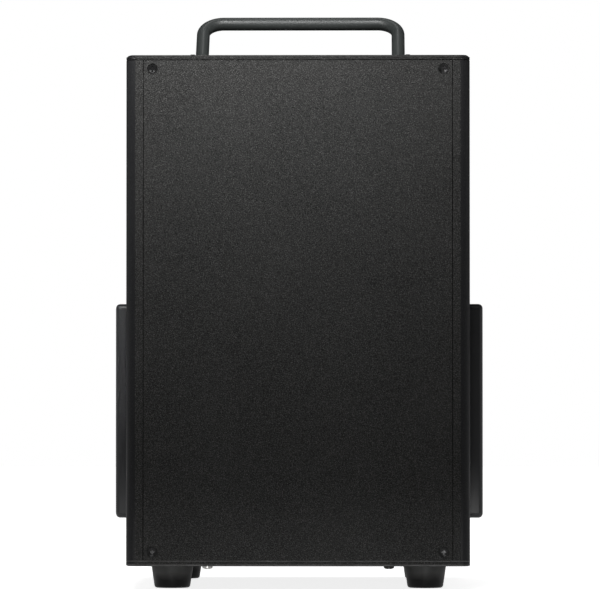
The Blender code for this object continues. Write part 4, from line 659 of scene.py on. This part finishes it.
def small_screws():
    """Cross recessed heads that hold the rear panel, cowls, handle lugs, nozzle and sockets, one
    piece for each group; a head's radius and height are in millimetres."""
    groups = {}

    def screw(group, radius, height, spot, wall="up", dome=0.4):
        head = screw_head(radius * MM, height * MM, dome)
        groups.setdefault(group, []).append(placed(head, spot, wall))

    rear_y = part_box("rear_panel")[1].y
    for corner in CORNERS:
        spot = middle_of(f"front_screw_{corner}")
        screw("rear_panel_screws", 2.6, 1.1, (spot.x, rear_y, spot.z), "rear")
    for side in SIDES:
        low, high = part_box(f"{side}_fan_cowl")
        x = low.x + COWL_SCREW_SUNK if side == "left" else high.x - COWL_SCREW_SUNK
        in_y, in_z = COWL_SCREW_IN
        for y in (low.y + in_y, high.y - in_y):
            for z in (low.z + in_z, high.z - in_z):
                screw("cowl_screws", 2.4, 0.15, (x, y, z), side, dome=0.0)
        low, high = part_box(f"handle_bracket_{side}")
        in_x, in_y = LUG_SCREW_IN
        x = high.x - in_x if side == "right" else low.x + in_x
        for y in (low.y + in_y, high.y - in_y):
            screw("lug_screws", 1.7, 0.7, (x, y, low.z + LUG_THICK))
    nozzle = middle_of("spark_nozzle")
    flange_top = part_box("top_panel")[1].z + FLANGE_THICK
    for turn in np.radians([45.0, 135.0, 225.0, 315.0]):
        aside, back = NOZZLE_SCREW_RING * math.cos(turn), NOZZLE_SCREW_RING * math.sin(turn)
        screw("nozzle_screws", 1.9, 0.75, (nozzle.x + aside, nozzle.y + back, flange_top))
    for name in ("power_inlet", "power_outlet"):
        spot = middle_of(name)
        z = spot.z if name == "power_outlet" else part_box(name)[0].z + MAINS_SCREW_UP
        for x in (-MAINS_SCREW_ASIDE, MAINS_SCREW_ASIDE):
            screw("mains_socket_screws", 2.3, 0.9, (spot.x + x, rear_y + MAINS_PLATE, z), "rear")
    for name in ("dmx_in", "dmx_out"):
        spot = middle_of(name)
        for x, z in SIGNAL_SCREWS:
            screw("signal_socket_screws", 2.0, 0.8, (spot.x + x, rear_y + SIGNAL_PLATE, spot.z + z),
                  "rear")
    for name, shells in groups.items():
        bright = name in ("nozzle_screws", "signal_socket_screws")
        piece(name, shells, "bright_steel" if bright else "black_steel")


# Feet and the casing's edges

WELL_TOP = 5.2
TOE_MIDDLE, TOE_ROUND = 8.1, 1.5


def feet():
    """Each foot is turned from one profile: a screw well, a flat ring to stand on, a rounded edge,
    a wall that leans out and a rounded top edge. A washer head screw sits up in the well."""
    for end in ("front", "rear"):
        for side in SIDES:
            name = f"foot_{end}_{side}"
            low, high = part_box(name)
            top = (high.z - low.z) / MM
            profile = [(0.3, WELL_TOP), (4.6, WELL_TOP), (4.9, 4.9), (4.9, 0.5), (5.3, 0.1), (5.8, 0.0)]
            profile += [(TOE_MIDDLE + TOE_ROUND * math.sin(t), TOE_ROUND - TOE_ROUND * math.cos(t))
                        for t in np.linspace(0.0, 1.4, 8)]
            profile += [(11.15, top - 0.4), (11.05, top - 0.1), (10.8, top), (0.3, top)]
            spot = ((low.x + high.x) / 2, (low.y + high.y) / 2, low.z)
            made = piece(f"{name}_rubber", [placed(turned_piece(profile, 96), spot)], "black_rubber")
            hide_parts(name)
            head_spot = (spot[0], spot[1], (WELL_TOP + 0.05) * MM)
            head = placed(screw_head(3.6 * MM, 1.6 * MM), head_spot, "down")
            piece(f"{name}_screw", [head], "bright_steel")


CASING_CORNER = 4.4 * MM
LIP_SIDES = 12
LIP_IN, LIP_BACK = 0.12 * MM, 0.3 * MM
# For each lip: its height above the plate's underside, its width and how far it stands proud
ROOF_LIPS = ((0.20, 0.32, 0.14), (1.20, 0.65, 0.18))
FLOOR_LIPS = ((0.65, 0.80, 0.18), (2.75, 0.45, 0.20))


def casing_outline(low, high):
    """Rounded outline of the casing from above, between two corners of a plate's box."""
    size, middle = high - low, (high + low) / 2
    return rounded_outline(size.x, size.y, CASING_CORNER, 10, (middle.x, middle.y))


def edge_lines():
    """Folded lips round the roof and the floor plate: a small rounded section carried round each
    plate's rounded outline, standing a tenth of a millimetre or so proud. The floor plate's lips
    wear a lighter paint, a painted highlight for the light their edges catch."""
    outward, upward = circle(1.0, LIP_SIDES).T
    for name, body_part, look, lips in (("roof_lip", "top_panel", roof_coat, ROOF_LIPS),
                                        ("floor_lip", "bottom_plate", worn_edge, FLOOR_LIPS)):
        low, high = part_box(body_part)
        outline = casing_outline(low, high)
        shells = []
        for height, width, proud in lips:
            inset = LIP_IN - proud * MM * outward * (outward > 0) + LIP_BACK * (outward < 0)
            tall = low.z + height * MM + width / 2 * MM * upward
            shells.append(skin(stacked(outline, np.stack([inset, tall], -1)), loop=True))
        piece(name, shells, "powder_coat", look=look, sharp=60.0)


def panel_seals():
    """Thin black strips set back in the gaps between the panels, painted shade that makes the gaps
    as dark as deep ones: upright ones beside the face and the rear panel, and a loop of small square
    section under the roof and over the floor plate."""
    back, deep = 0.9 * MM, 0.5 * MM
    floor_low, floor_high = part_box("bottom_plate")
    roof_low, roof_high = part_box("top_panel")
    shells = []
    for side in (-1, 1):
        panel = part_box("front_panel")[1].x
        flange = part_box("right_side_panel")[0].x
        x = sorted((side * panel, side * flange))
        for y in (floor_low.y + back, floor_high.y - back - deep):
            shells.append(block((x[0], y, floor_high.z), (x[1], y + deep, roof_low.z), 0.02 * MM))
    outline = casing_outline(roof_low, roof_high)
    for low in (floor_high.z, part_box("front_panel")[1].z):
        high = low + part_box("front_panel")[0].z - floor_high.z
        rings = stacked(outline, [(back, low), (back, high), (back + deep, high), (back + deep, low)])
        shells.append(skin(rings, loop=True))
    piece("panel_seals", shells, "black_rubber", look=seal_foam, sharp=30.0)


# Roof: spark nozzle and hopper lid

def nozzle_ring():
    """One turned profile: bore, rounded lip, flange with a rounded rim, then the skirt and its
    shoulder."""
    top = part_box("top_panel")[1].z
    spot = middle_of("spark_nozzle")
    profile = [(16.0, -2.0), (16.0, 2.0), (16.25, 2.55), (16.9, 2.8)]
    profile += rounded_rim(19.5, 1.0, 2.8, 5)[::-1] + [(19.5, 2.05), (19.7, 2.0)]
    profile += rounded_rim(27.0, 0.7, 2.0, 4)[::-1] + [(27.0, 0.3), (21.5, 0.3)]
    profile += [(21.5, -8.0), (19.3, -8.0), (19.3, -2.0)]
    shell = turned_piece(profile, 128, loop=True)
    made = piece("nozzle_ring", [placed(shell, (spot.x, spot.y, top))], "bright_steel", sharp=30.0)
    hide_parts("spark_nozzle")


LID_LIFT, LID_THICK, LID_CORNER = 2.1 * MM, 2.0 * MM, 4.0 * MM
LID_TAB_REACH, LID_ARM_REACH = 2.0 * MM, 3.0 * MM
LID_TRAY = ((2.4, 0.0), (2.7, 0.08), (3.1, 0.34), (3.4, 0.42), (3.9, 0.42))
PLUG_WIDTH, PLUG_DEPTH, PLUG_CORNER, PLUG_Y = 55.0 * MM, 37.0 * MM, 3.0 * MM, 68.35 * MM
PLUG_EASE = 0.6 * MM
TAB_HALF, ARM_HALF = 9.0 * MM, 13.9 * MM
KNUCKLE = ((2.1, -14.0), (2.5, -13.6), (2.5, 13.6), (2.1, 14.0))


def lid_plate():
    """Rounded plate with a pressed tray in it, its plug, a finger tab and the knuckle it turns on.
    The tray is a row of insets from the plate's edge with the depth at each."""
    pin = pivot_of("lid_hinge")
    low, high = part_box("hopper_lid")
    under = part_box("top_panel")[1].z + LID_LIFT
    top = under + LID_THICK
    front, rear = low.y + LID_TAB_REACH, pin[1] - LID_ARM_REACH
    outline = rounded_outline(high.x - low.x, rear - front, LID_CORNER, 8, (0.0, (front + rear) / 2))
    profile = [(0.4 * MM, under), (0.0, under + 0.3 * MM)] + quarter(0.8 * MM, top, 5)
    profile += [(inset * MM, top - depth * MM) for inset, depth in LID_TRAY]
    slab = skin(stacked(outline, profile))
    plug = skin(stacked(rounded_outline(PLUG_WIDTH, PLUG_DEPTH, PLUG_CORNER, 6, (0.0, PLUG_Y)),
                        [(PLUG_EASE, low.z), (0.0, low.z + PLUG_EASE), (0.0, under + MM)]))
    tab = block((-TAB_HALF, low.y, under + 0.1 * MM), (TAB_HALF, front + MM, top - 0.15 * MM), 0.5 * MM)
    arm = block((-ARM_HALF, rear - MM, under + 0.3 * MM), (ARM_HALF, pin[1], top - 0.3 * MM), 0.3 * MM)
    knuckle = skin(lying(lathe(np.array(KNUCKLE) * MM, 48)) + pin)
    made = piece("lid_plate", [slab, plug, tab, arm, knuckle], "satin_black", "hopper_lid", sharp=40.0)
    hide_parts("hopper_lid")


# Control face

DIGIT_WIDE, DIGIT_TALL, DIGIT_STEP, DIGIT_LEAN = 7.0 * MM, 14.0 * MM, 13.0 * MM, 0.08
BAR_WIDE, BAR_GAP = 1.15 * MM, 0.12 * MM
POINT_RADIUS, POINT_ASIDE = 0.7 * MM, 1.8 * MM
INK = 0.03 * MM


def segment(centre, length, upright):
    """One bar of a digit: a long hexagon with mitred ends, a hair thick, that leans to the right."""
    half, side = length / 2 - BAR_GAP, BAR_WIDE / 2
    shape = np.array([(-half, 0.0), (-half + side, side), (half - side, side), (half, 0.0),
                      (half - side, -side), (-half + side, -side)])
    if upright:
        shape = shape[:, ::-1]
    flat = shape + np.asarray(centre)
    flat[:, 0] += flat[:, 1] * DIGIT_LEAN
    low = np.concatenate([flat, np.zeros((len(flat), 1))], -1)
    high = low + np.array([0.0, 0.0, INK])
    return skin(np.stack([low, high]))


def display_digits():
    """Four unlit digits on the pane: seven bars each, and a point."""
    low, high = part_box("display_window")
    spot = ((low.x + high.x) / 2, high.y, (low.z + high.z) / 2)
    shells = []
    for place in range(4):
        x = (place - 1.5) * DIGIT_STEP
        for y in (-DIGIT_TALL / 2, 0.0, DIGIT_TALL / 2):
            shells.append(segment((x, y), DIGIT_WIDE, False))
        for side in (-DIGIT_WIDE / 2, DIGIT_WIDE / 2):
            for y in (-DIGIT_TALL / 4, DIGIT_TALL / 4):
                shells.append(segment((x + side, y), DIGIT_TALL / 2, True))
        centre = (x + DIGIT_WIDE / 2 + POINT_ASIDE, -DIGIT_TALL / 2)
        dot = stacked((circle(POINT_RADIUS, 20, centre), circle(1.0, 20)), [(0.0, 0.0), (0.0, INK)])
        shells.append(skin(dot))
    piece("display_digits", [placed(shell, spot, "rear") for shell in shells], "dark_window",
          look=unlit_digit, sharp=30.0)


CAP_RADIUS, CAP_RISE, DISH_RADIUS, DISH_DEPTH = 3.5, 2.0, 2.7, 0.35


def button_caps():
    """Each cap is turned from a profile: stem, collar, wall, rounded rim and a shallow top, dished
    by depth (1 - (r/R)^2)."""
    rear_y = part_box("rear_panel")[1].y
    profile = [(2.0, -6.0), (2.0, -3.0), (4.5, -3.0), (4.5, -1.8), (CAP_RADIUS, -1.8)]
    profile += rounded_rim(CAP_RADIUS, 0.6, CAP_RISE, 5)
    profile += [(r, CAP_RISE - DISH_DEPTH * (1.0 - (r / DISH_RADIUS) ** 2))
                for r in (2.5, 2.0, 1.4, 0.8, 0.3)]
    for index in range(1, 5):
        name = f"menu_button_{index}"
        spot = middle_of(name)
        shell = placed(turned_piece(profile, 56), (spot.x, rear_y, spot.z), "rear")
        made = piece(f"{name}_cap", [shell], "black_plastic", name)
        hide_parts(name)


def word_shell(text, size):
    """A word's outline filled, made a mesh and given a hair of depth, its middle at the origin."""
    curve = bpy.data.curves.new("word_outline", "FONT")
    curve.body = text
    curve.size = size
    curve.align_x = "CENTER"
    curve.align_y = "CENTER"
    curve.resolution_u = 4
    curve.extrude = 0.02 * MM
    carrier = added("word_outline", curve)
    bpy.context.view_layer.update()
    mesh = bpy.data.meshes.new_from_object(carrier.evaluated_get(bpy.context.evaluated_depsgraph_get()))
    points = np.empty(len(mesh.vertices) * 3)
    mesh.vertices.foreach_get("co", points)
    faces = [list(face.vertices) for face in mesh.polygons]
    bpy.data.objects.remove(carrier)
    bpy.data.curves.remove(curve)
    bpy.data.meshes.remove(mesh)
    return points.reshape(-1, 3), faces


KEY_WORDS = ("MENU", "DOWN", "UP", "ENTER")
KEY_WORD_SIZE, KEY_WORD_DROP = 3.6 * MM, 7.6 * MM
SOCKET_WORDS = (("dmx_in", "DMX IN", 20.5), ("dmx_out", "DMX OUT", 20.5),
                ("power_outlet", "POWER OUT", 17.5), ("power_switch_bezel", "POWER", 20.0))
SOCKET_WORD_SIZE, INLET_WORD_RISE = 4.2 * MM, 4.5 * MM


def control_words():
    """Plain names under the keys and over the sockets, laid on the control face as a viewer behind
    the machine reads them."""
    lines = []
    for index, word in enumerate(KEY_WORDS):
        spot = middle_of(f"menu_button_{index + 1}")
        lines.append((word, spot.x, spot.z - KEY_WORD_DROP, KEY_WORD_SIZE))
    for name, word, lift in SOCKET_WORDS:
        spot = middle_of(name)
        lines.append((word, spot.x, spot.z + lift * MM, SOCKET_WORD_SIZE))
    spot = middle_of("power_inlet")
    inlet_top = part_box("power_inlet")[1].z
    lines.append(("POWER IN", spot.x, inlet_top + INLET_WORD_RISE, SOCKET_WORD_SIZE))
    rear_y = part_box("rear_panel")[1].y
    shells = [placed(word_shell(text, size), (x, rear_y + INK, z), "rear")
              for text, x, z, size in lines]
    piece("control_lettering", shells, "satin_black", look=label_print, sharp=30.0)


ROCKER_HALF_WIDTH, ROCKER_HALF_LENGTH = 7.0 * MM, 11.5 * MM
ROCKER_RISE, ROCKER_FLANK, ROCKER_DISH = 6.4 * MM, 2.4 * MM, 1.2 * MM
ROCKER_LEAN = math.radians(10.0)
KEEL = ((-8.0, -2.5), (8.0, -2.5), (11.2, 2.6), (-11.2, 2.6))
KEEL_HALF = 6.9 * MM
TRUNNION = ((1.2, -7.8), (1.2, 7.8))
MARK_ASIDE, MARK_LIFT = 5.6 * MM, 0.02 * MM
RING_MARK = ((1.5, 0.0), (1.5, 0.04), (2.0, 0.04), (2.0, 0.0))


def rocker_cap():
    """The rocker's face is a shallow arc in side view, dish (1 - (y/half length)^2) deep; its rim
    is rounded over and its flanks run down to the keel. A ring and a bar lie on its two halves,
    tipped to the arc's slope there."""
    outline = rounded_outline(2 * ROCKER_HALF_WIDTH, 2 * ROCKER_HALF_LENGTH, 0.8 * MM, 4)
    profile = [(0.25 * MM, ROCKER_FLANK - 1.5 * MM), (0.0, ROCKER_FLANK)]
    profile += quarter(0.6 * MM, ROCKER_RISE, 5)
    profile += [(inset * MM, ROCKER_RISE) for inset in (1.5, 2.8, 4.2, 5.6, 6.6)]
    rings = stacked(outline, profile)
    share = 1.0 - np.clip(np.abs(rings[..., 1]) / ROCKER_HALF_LENGTH, 0.0, 1.0) ** 2
    rings[..., 2] -= ROCKER_DISH * share * (rings[..., 2] > ROCKER_FLANK + 1e-6)
    keel = np.array(KEEL) * MM
    flanks = np.stack([np.concatenate([np.full((len(keel), 1), x), keel], -1)
                       for x in (-KEEL_HALF, KEEL_HALF)])
    trunnion = lying(lathe(np.array(TRUNNION) * MM, 24))
    ring = turned_piece(RING_MARK, 40, loop=True)
    bar = block((-0.28 * MM, -2.0 * MM, 0.0), (0.28 * MM, 2.0 * MM, 0.04 * MM), 0.01 * MM)
    marks = []
    for y, mark in ((MARK_ASIDE, ring), (-MARK_ASIDE, bar)):
        level = ROCKER_RISE - ROCKER_DISH * (1.0 - (y / ROCKER_HALF_LENGTH) ** 2) + MARK_LIFT
        slope = 2.0 * ROCKER_DISH * y / ROCKER_HALF_LENGTH ** 2
        marks.append(tipped(mark, math.atan(slope), (0.0, y, level)))
    pivot = pivot_of("rocker_tip")

    def seated(shell):
        return placed(tipped(shell, ROCKER_LEAN), pivot, "rear")

    body = [skin(rings), skin(flanks), skin(trunnion)]
    made = piece("rocker_cap", [seated(shell) for shell in body], "black_plastic",
                 "power_switch_rocker")
    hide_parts("power_switch_rocker")
    piece("rocker_marks", [seated(shell) for shell in marks], "black_plastic",
          "power_switch_rocker", label_print)


INLET_X, INLET_Z = 25.0 * MM, 13.0 * MM
BLADES = ((-7.0, -1.5), (0.0, 1.5), (7.0, -1.5))
BLADE_FROM, BLADE_TO, BLADE_HALF_TALL = -16.0 * MM, -1.0 * MM, 2.0 * MM
PINS = ((-4.0, 1.0), (4.0, 1.0), (0.0, -4.0))
PIN_RADIUS, PIN_FROM, PIN_DOME = 1.15, -14.0, -2.2


def contacts():
    """Blades in the mains inlet, and round pins with domed ends in the signal inlet."""
    low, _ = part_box("power_inlet")
    rear_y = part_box("rear_panel")[1].y
    mains = (low.x + INLET_X, rear_y, low.z + INLET_Z)
    blades = [block((x * MM - MM, y * MM - BLADE_HALF_TALL, BLADE_FROM),
                    (x * MM + MM, y * MM + BLADE_HALF_TALL, BLADE_TO), 0.45 * MM) for x, y in BLADES]
    piece("inlet_blades", [placed(shell, mains, "rear") for shell in blades], "bright_steel")
    spot = middle_of("dmx_in")
    pin = turned_piece([(PIN_RADIUS, PIN_FROM)]
                       + [(PIN_RADIUS * math.cos(t), PIN_DOME + PIN_RADIUS * math.sin(t))
                          for t in np.linspace(0.0, 1.45, 7)], 32)
    pins = [placed(placed(pin, (x * MM, y * MM, 0.0)), (spot.x, rear_y, spot.z), "rear")
            for x, y in PINS]
    piece("signal_pins", pins, "bright_steel", look=contact_brass)


COLLAR = ((9.6, 1.2), (9.6, 2.5), (9.9, 2.75), (11.2, 2.75), (11.7, 2.3), (11.8, 1.9), (11.8, 1.2))


def socket_collars():
    """Bright rims round the signal sockets' mouths, turned from one rounded section."""
    rear_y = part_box("rear_panel")[1].y
    for name in ("dmx_in", "dmx_out"):
        spot = middle_of(name)
        shell = placed(turned_piece(COLLAR, 96, loop=True), (spot.x, rear_y, spot.z), "rear")
        piece(f"{name}_rim", [shell], "bright_steel")


# Stage

FLOOR_HALF = 6.0
FLOOR_GLOW, GLOW_NEAR, GLOW_FAR = 0.84, 0.25, 1.2
WORLD_LIGHT = 0.04
CAMERA_ASIDE = 0.035
CAMERA_AWAY = 2.5
CAMERA_HEIGHT = 0.0911
CAMERA_AIM_X = 0.00113
CAMERA_AIM_Z = 0.15270
CAMERA_LENS = 284.5
# Name, place, aim, size, power in watts, beam in degrees
LAMPS = (
    ("key", (-0.054, -0.26, 0.40), (-0.036, -0.11, 0.265), (0.28, 0.05), 0.66, 110.0),
    ("handle_light", (0.0, -0.30, 0.575), (0.0, 0.01, 0.308), (0.24, 0.09), 0.170, 30.0),
    ("handle_top_light", (0.0, 0.24, 1.2), (0.0, 0.02, 0.30), (0.12, 0.30), 0.085, 50.0),
    ("cowl_light", (-0.122, -0.34, 0.262), (-0.110, -0.06, 0.14), (0.02, 0.10), 0.0115, 12.0),
    ("low_light", (0.0, -0.45, 0.010), (0.0, -0.11, 0.010), (0.30, 0.012), 0.014, 17.0),
)
# The same without a beam: these spread fully, and mirrored rays don't see them
FILLS = (
    ("left_fill", (-1.3, 0.5, 0.9), (0.0, 0.0, 0.15), (0.8, 0.8), 3.5),
    ("right_fill", (1.3, 0.5, 0.9), (0.0, 0.0, 0.15), (0.8, 0.8), 3.5),
    ("rear_fill", (0.0, 1.4, 0.9), (0.0, 0.1, 0.15), (0.9, 0.9), 6.0),
)


def seen(tree):
    """One for the rays that show the background: straight, mirrored or passed through glass."""
    path = node(tree, "LightPath").outputs
    share = maths(tree, "MAXIMUM", path["Is Camera Ray"], path["Is Glossy Ray"])
    return maths(tree, "MAXIMUM", share, path["Is Transmission Ray"])


def loose_quads(name, corners):
    """An object of separate quads, four corners each."""
    mesh = bpy.data.meshes.new(name)
    mesh.from_pydata(corners, [], np.arange(len(corners)).reshape(-1, 4).tolist())
    return added(name, mesh)


def stage_set():
    """Pale floor that the camera sees as white, and a world that lights weakly."""
    half = FLOOR_HALF
    ground = loose_quads("floor", [(-half, -half, 0.0), (half, -half, 0.0), (half, half, 0.0),
                                   (-half, half, 0.0)])
    pale, tree, shader = shader_of("pale_floor", (0.86, 0.86, 0.86), 0.9, specular=0.1)
    tint = noise(tree, object_point(tree), per_metre=2.0)
    dressed(pale, shader, mixed(tree, tint, (0.85, 0.85, 0.85), (0.88, 0.88, 0.88)))
    shader.inputs["Emission Color"].default_value = WHITE
    away = node(tree, "VectorMath", {0: object_point(tree)}, operation="LENGTH").outputs["Value"]
    glow = spread(tree, away, GLOW_NEAR, GLOW_FAR, FLOOR_GLOW, 1.0)
    tree.links.new(maths(tree, "MULTIPLY", seen(tree), glow), shader.inputs["Emission Strength"])
    ground.data.materials.append(pale)

    world = bpy.data.worlds.new("studio")
    bpy.context.scene.world = world
    world.use_nodes = True
    tree = world.node_tree
    background = tree.nodes["Background"]
    background.inputs["Color"].default_value = WHITE
    tree.links.new(spread(tree, seen(tree), 0.0, 1.0, WORLD_LIGHT, 1.0), background.inputs["Strength"])


def dark_cards():
    """Dark cards behind the camera, overhead, far behind the machine and beside its handle that
    only mirrored rays meet: satin black then looks black, at its edges too. Each is a quad."""
    front = [(-3.5, -3.4, -0.5), (3.5, -3.4, -0.5), (3.5, -3.4, 3.5), (-3.5, -3.4, 3.5)]
    above = [(-0.9, -0.7, 1.3), (0.9, -0.7, 1.3), (0.9, 1.0, 1.3), (-0.9, 1.0, 1.3)]
    behind = [(-3.5, 1.6, -0.3), (3.5, 1.6, -0.3), (3.5, 1.6, 2.0), (-3.5, 1.6, 2.0)]
    left = [(-0.3, -0.3, 0.31), (-0.3, 0.6, 0.31), (-0.3, 0.6, 0.65), (-0.3, -0.3, 0.65)]
    right = [(-x, y, z) for x, y, z in left]
    card = loose_quads("dark_cards", front + above + behind + left + right)
    card.visible_camera = False
    card.visible_diffuse = False
    card.visible_shadow = False
    cloth, tree, shader = shader_of("card_cloth", (0.03, 0.03, 0.03), 1.0, specular=0.0)
    weave = noise(tree, object_point(tree), per_metre=300.0)
    dressed(cloth, shader, mixed(tree, weave, (0.025, 0.025, 0.025), (0.035, 0.035, 0.035)))
    card.data.materials.append(cloth)


def faced(made, spot, aim):
    """Sets a lamp or camera at a spot, turned to face a point."""
    made.location = spot
    made.rotation_euler = (Vector(aim) - Vector(spot)).to_track_quat("-Z", "Y").to_euler()


def softbox(name, spot, aim, size, power, beam=180.0, mirrored=True):
    """A rectangular lamp of watts of power that faces a point; a grid in front narrows its beam."""
    data = bpy.data.lights.new(name, "AREA")
    data.shape = "RECTANGLE"
    data.size, data.size_y = size
    data.energy = power
    data.spread = math.radians(beam)
    lamp = added(name, data)
    lamp.visible_glossy = mirrored
    lamp.visible_camera = False
    faced(lamp, spot, aim)


def camera_set():
    """Long lens well in front of the plain face, a little below the middle, looking slightly up."""
    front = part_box("front_panel")[0].y
    data = bpy.data.cameras.new("camera")
    data.sensor_width = 36.0
    data.lens = CAMERA_LENS
    data.clip_end = 60.0
    camera = added("camera", data)
    faced(camera, (CAMERA_ASIDE, front - CAMERA_AWAY, CAMERA_HEIGHT), (CAMERA_AIM_X, front, CAMERA_AIM_Z))
    bpy.context.scene.camera = camera


bpy.context.scene.view_settings.view_transform = "Standard"
camera_set()
stage_set()
dark_cards()
for lamp_row in LAMPS:
    softbox(*lamp_row)
for lamp_row in FILLS:
    softbox(*lamp_row, mirrored=False)

# How far the edges of each piece that keeps its CAD form are rounded over
EASED = {
    "front_panel": 0.16, "rear_panel": 0.25, "top_panel": 0.40, "bottom_plate": 0.30,
    "left_side_panel": 0.16, "right_side_panel": 0.16, "left_fan_cowl": 0.35, "right_fan_cowl": 0.35,
    "hopper": 0.25, "power_inlet": 0.30, "power_outlet": 0.30, "power_switch_bezel": 0.30,
    "dmx_in": 0.25, "dmx_out": 0.25, "fuse_drawer": 0.30, "handle_bracket_left": 0.25,
    "handle_bracket_right": 0.25, "dmx_release_tab": 0.25, "display_window": 0.20,
}
# Coats with painted shade beyond the bends, the roof's also in its seams
BENT_COATS = {"top_panel": roof_coat, "bottom_plate": side_coat, "left_side_panel": side_coat,
              "right_side_panel": side_coat}
for name, width in EASED.items():
    eased(name, width * MM, BENT_COATS.get(name))
handle_bow()
front_screws()
underside_screws()
small_screws()
feet()
edge_lines()
panel_seals()
nozzle_ring()
lid_plate()
display_digits()
button_caps()
control_words()
rocker_cap()
contacts()
socket_collars()
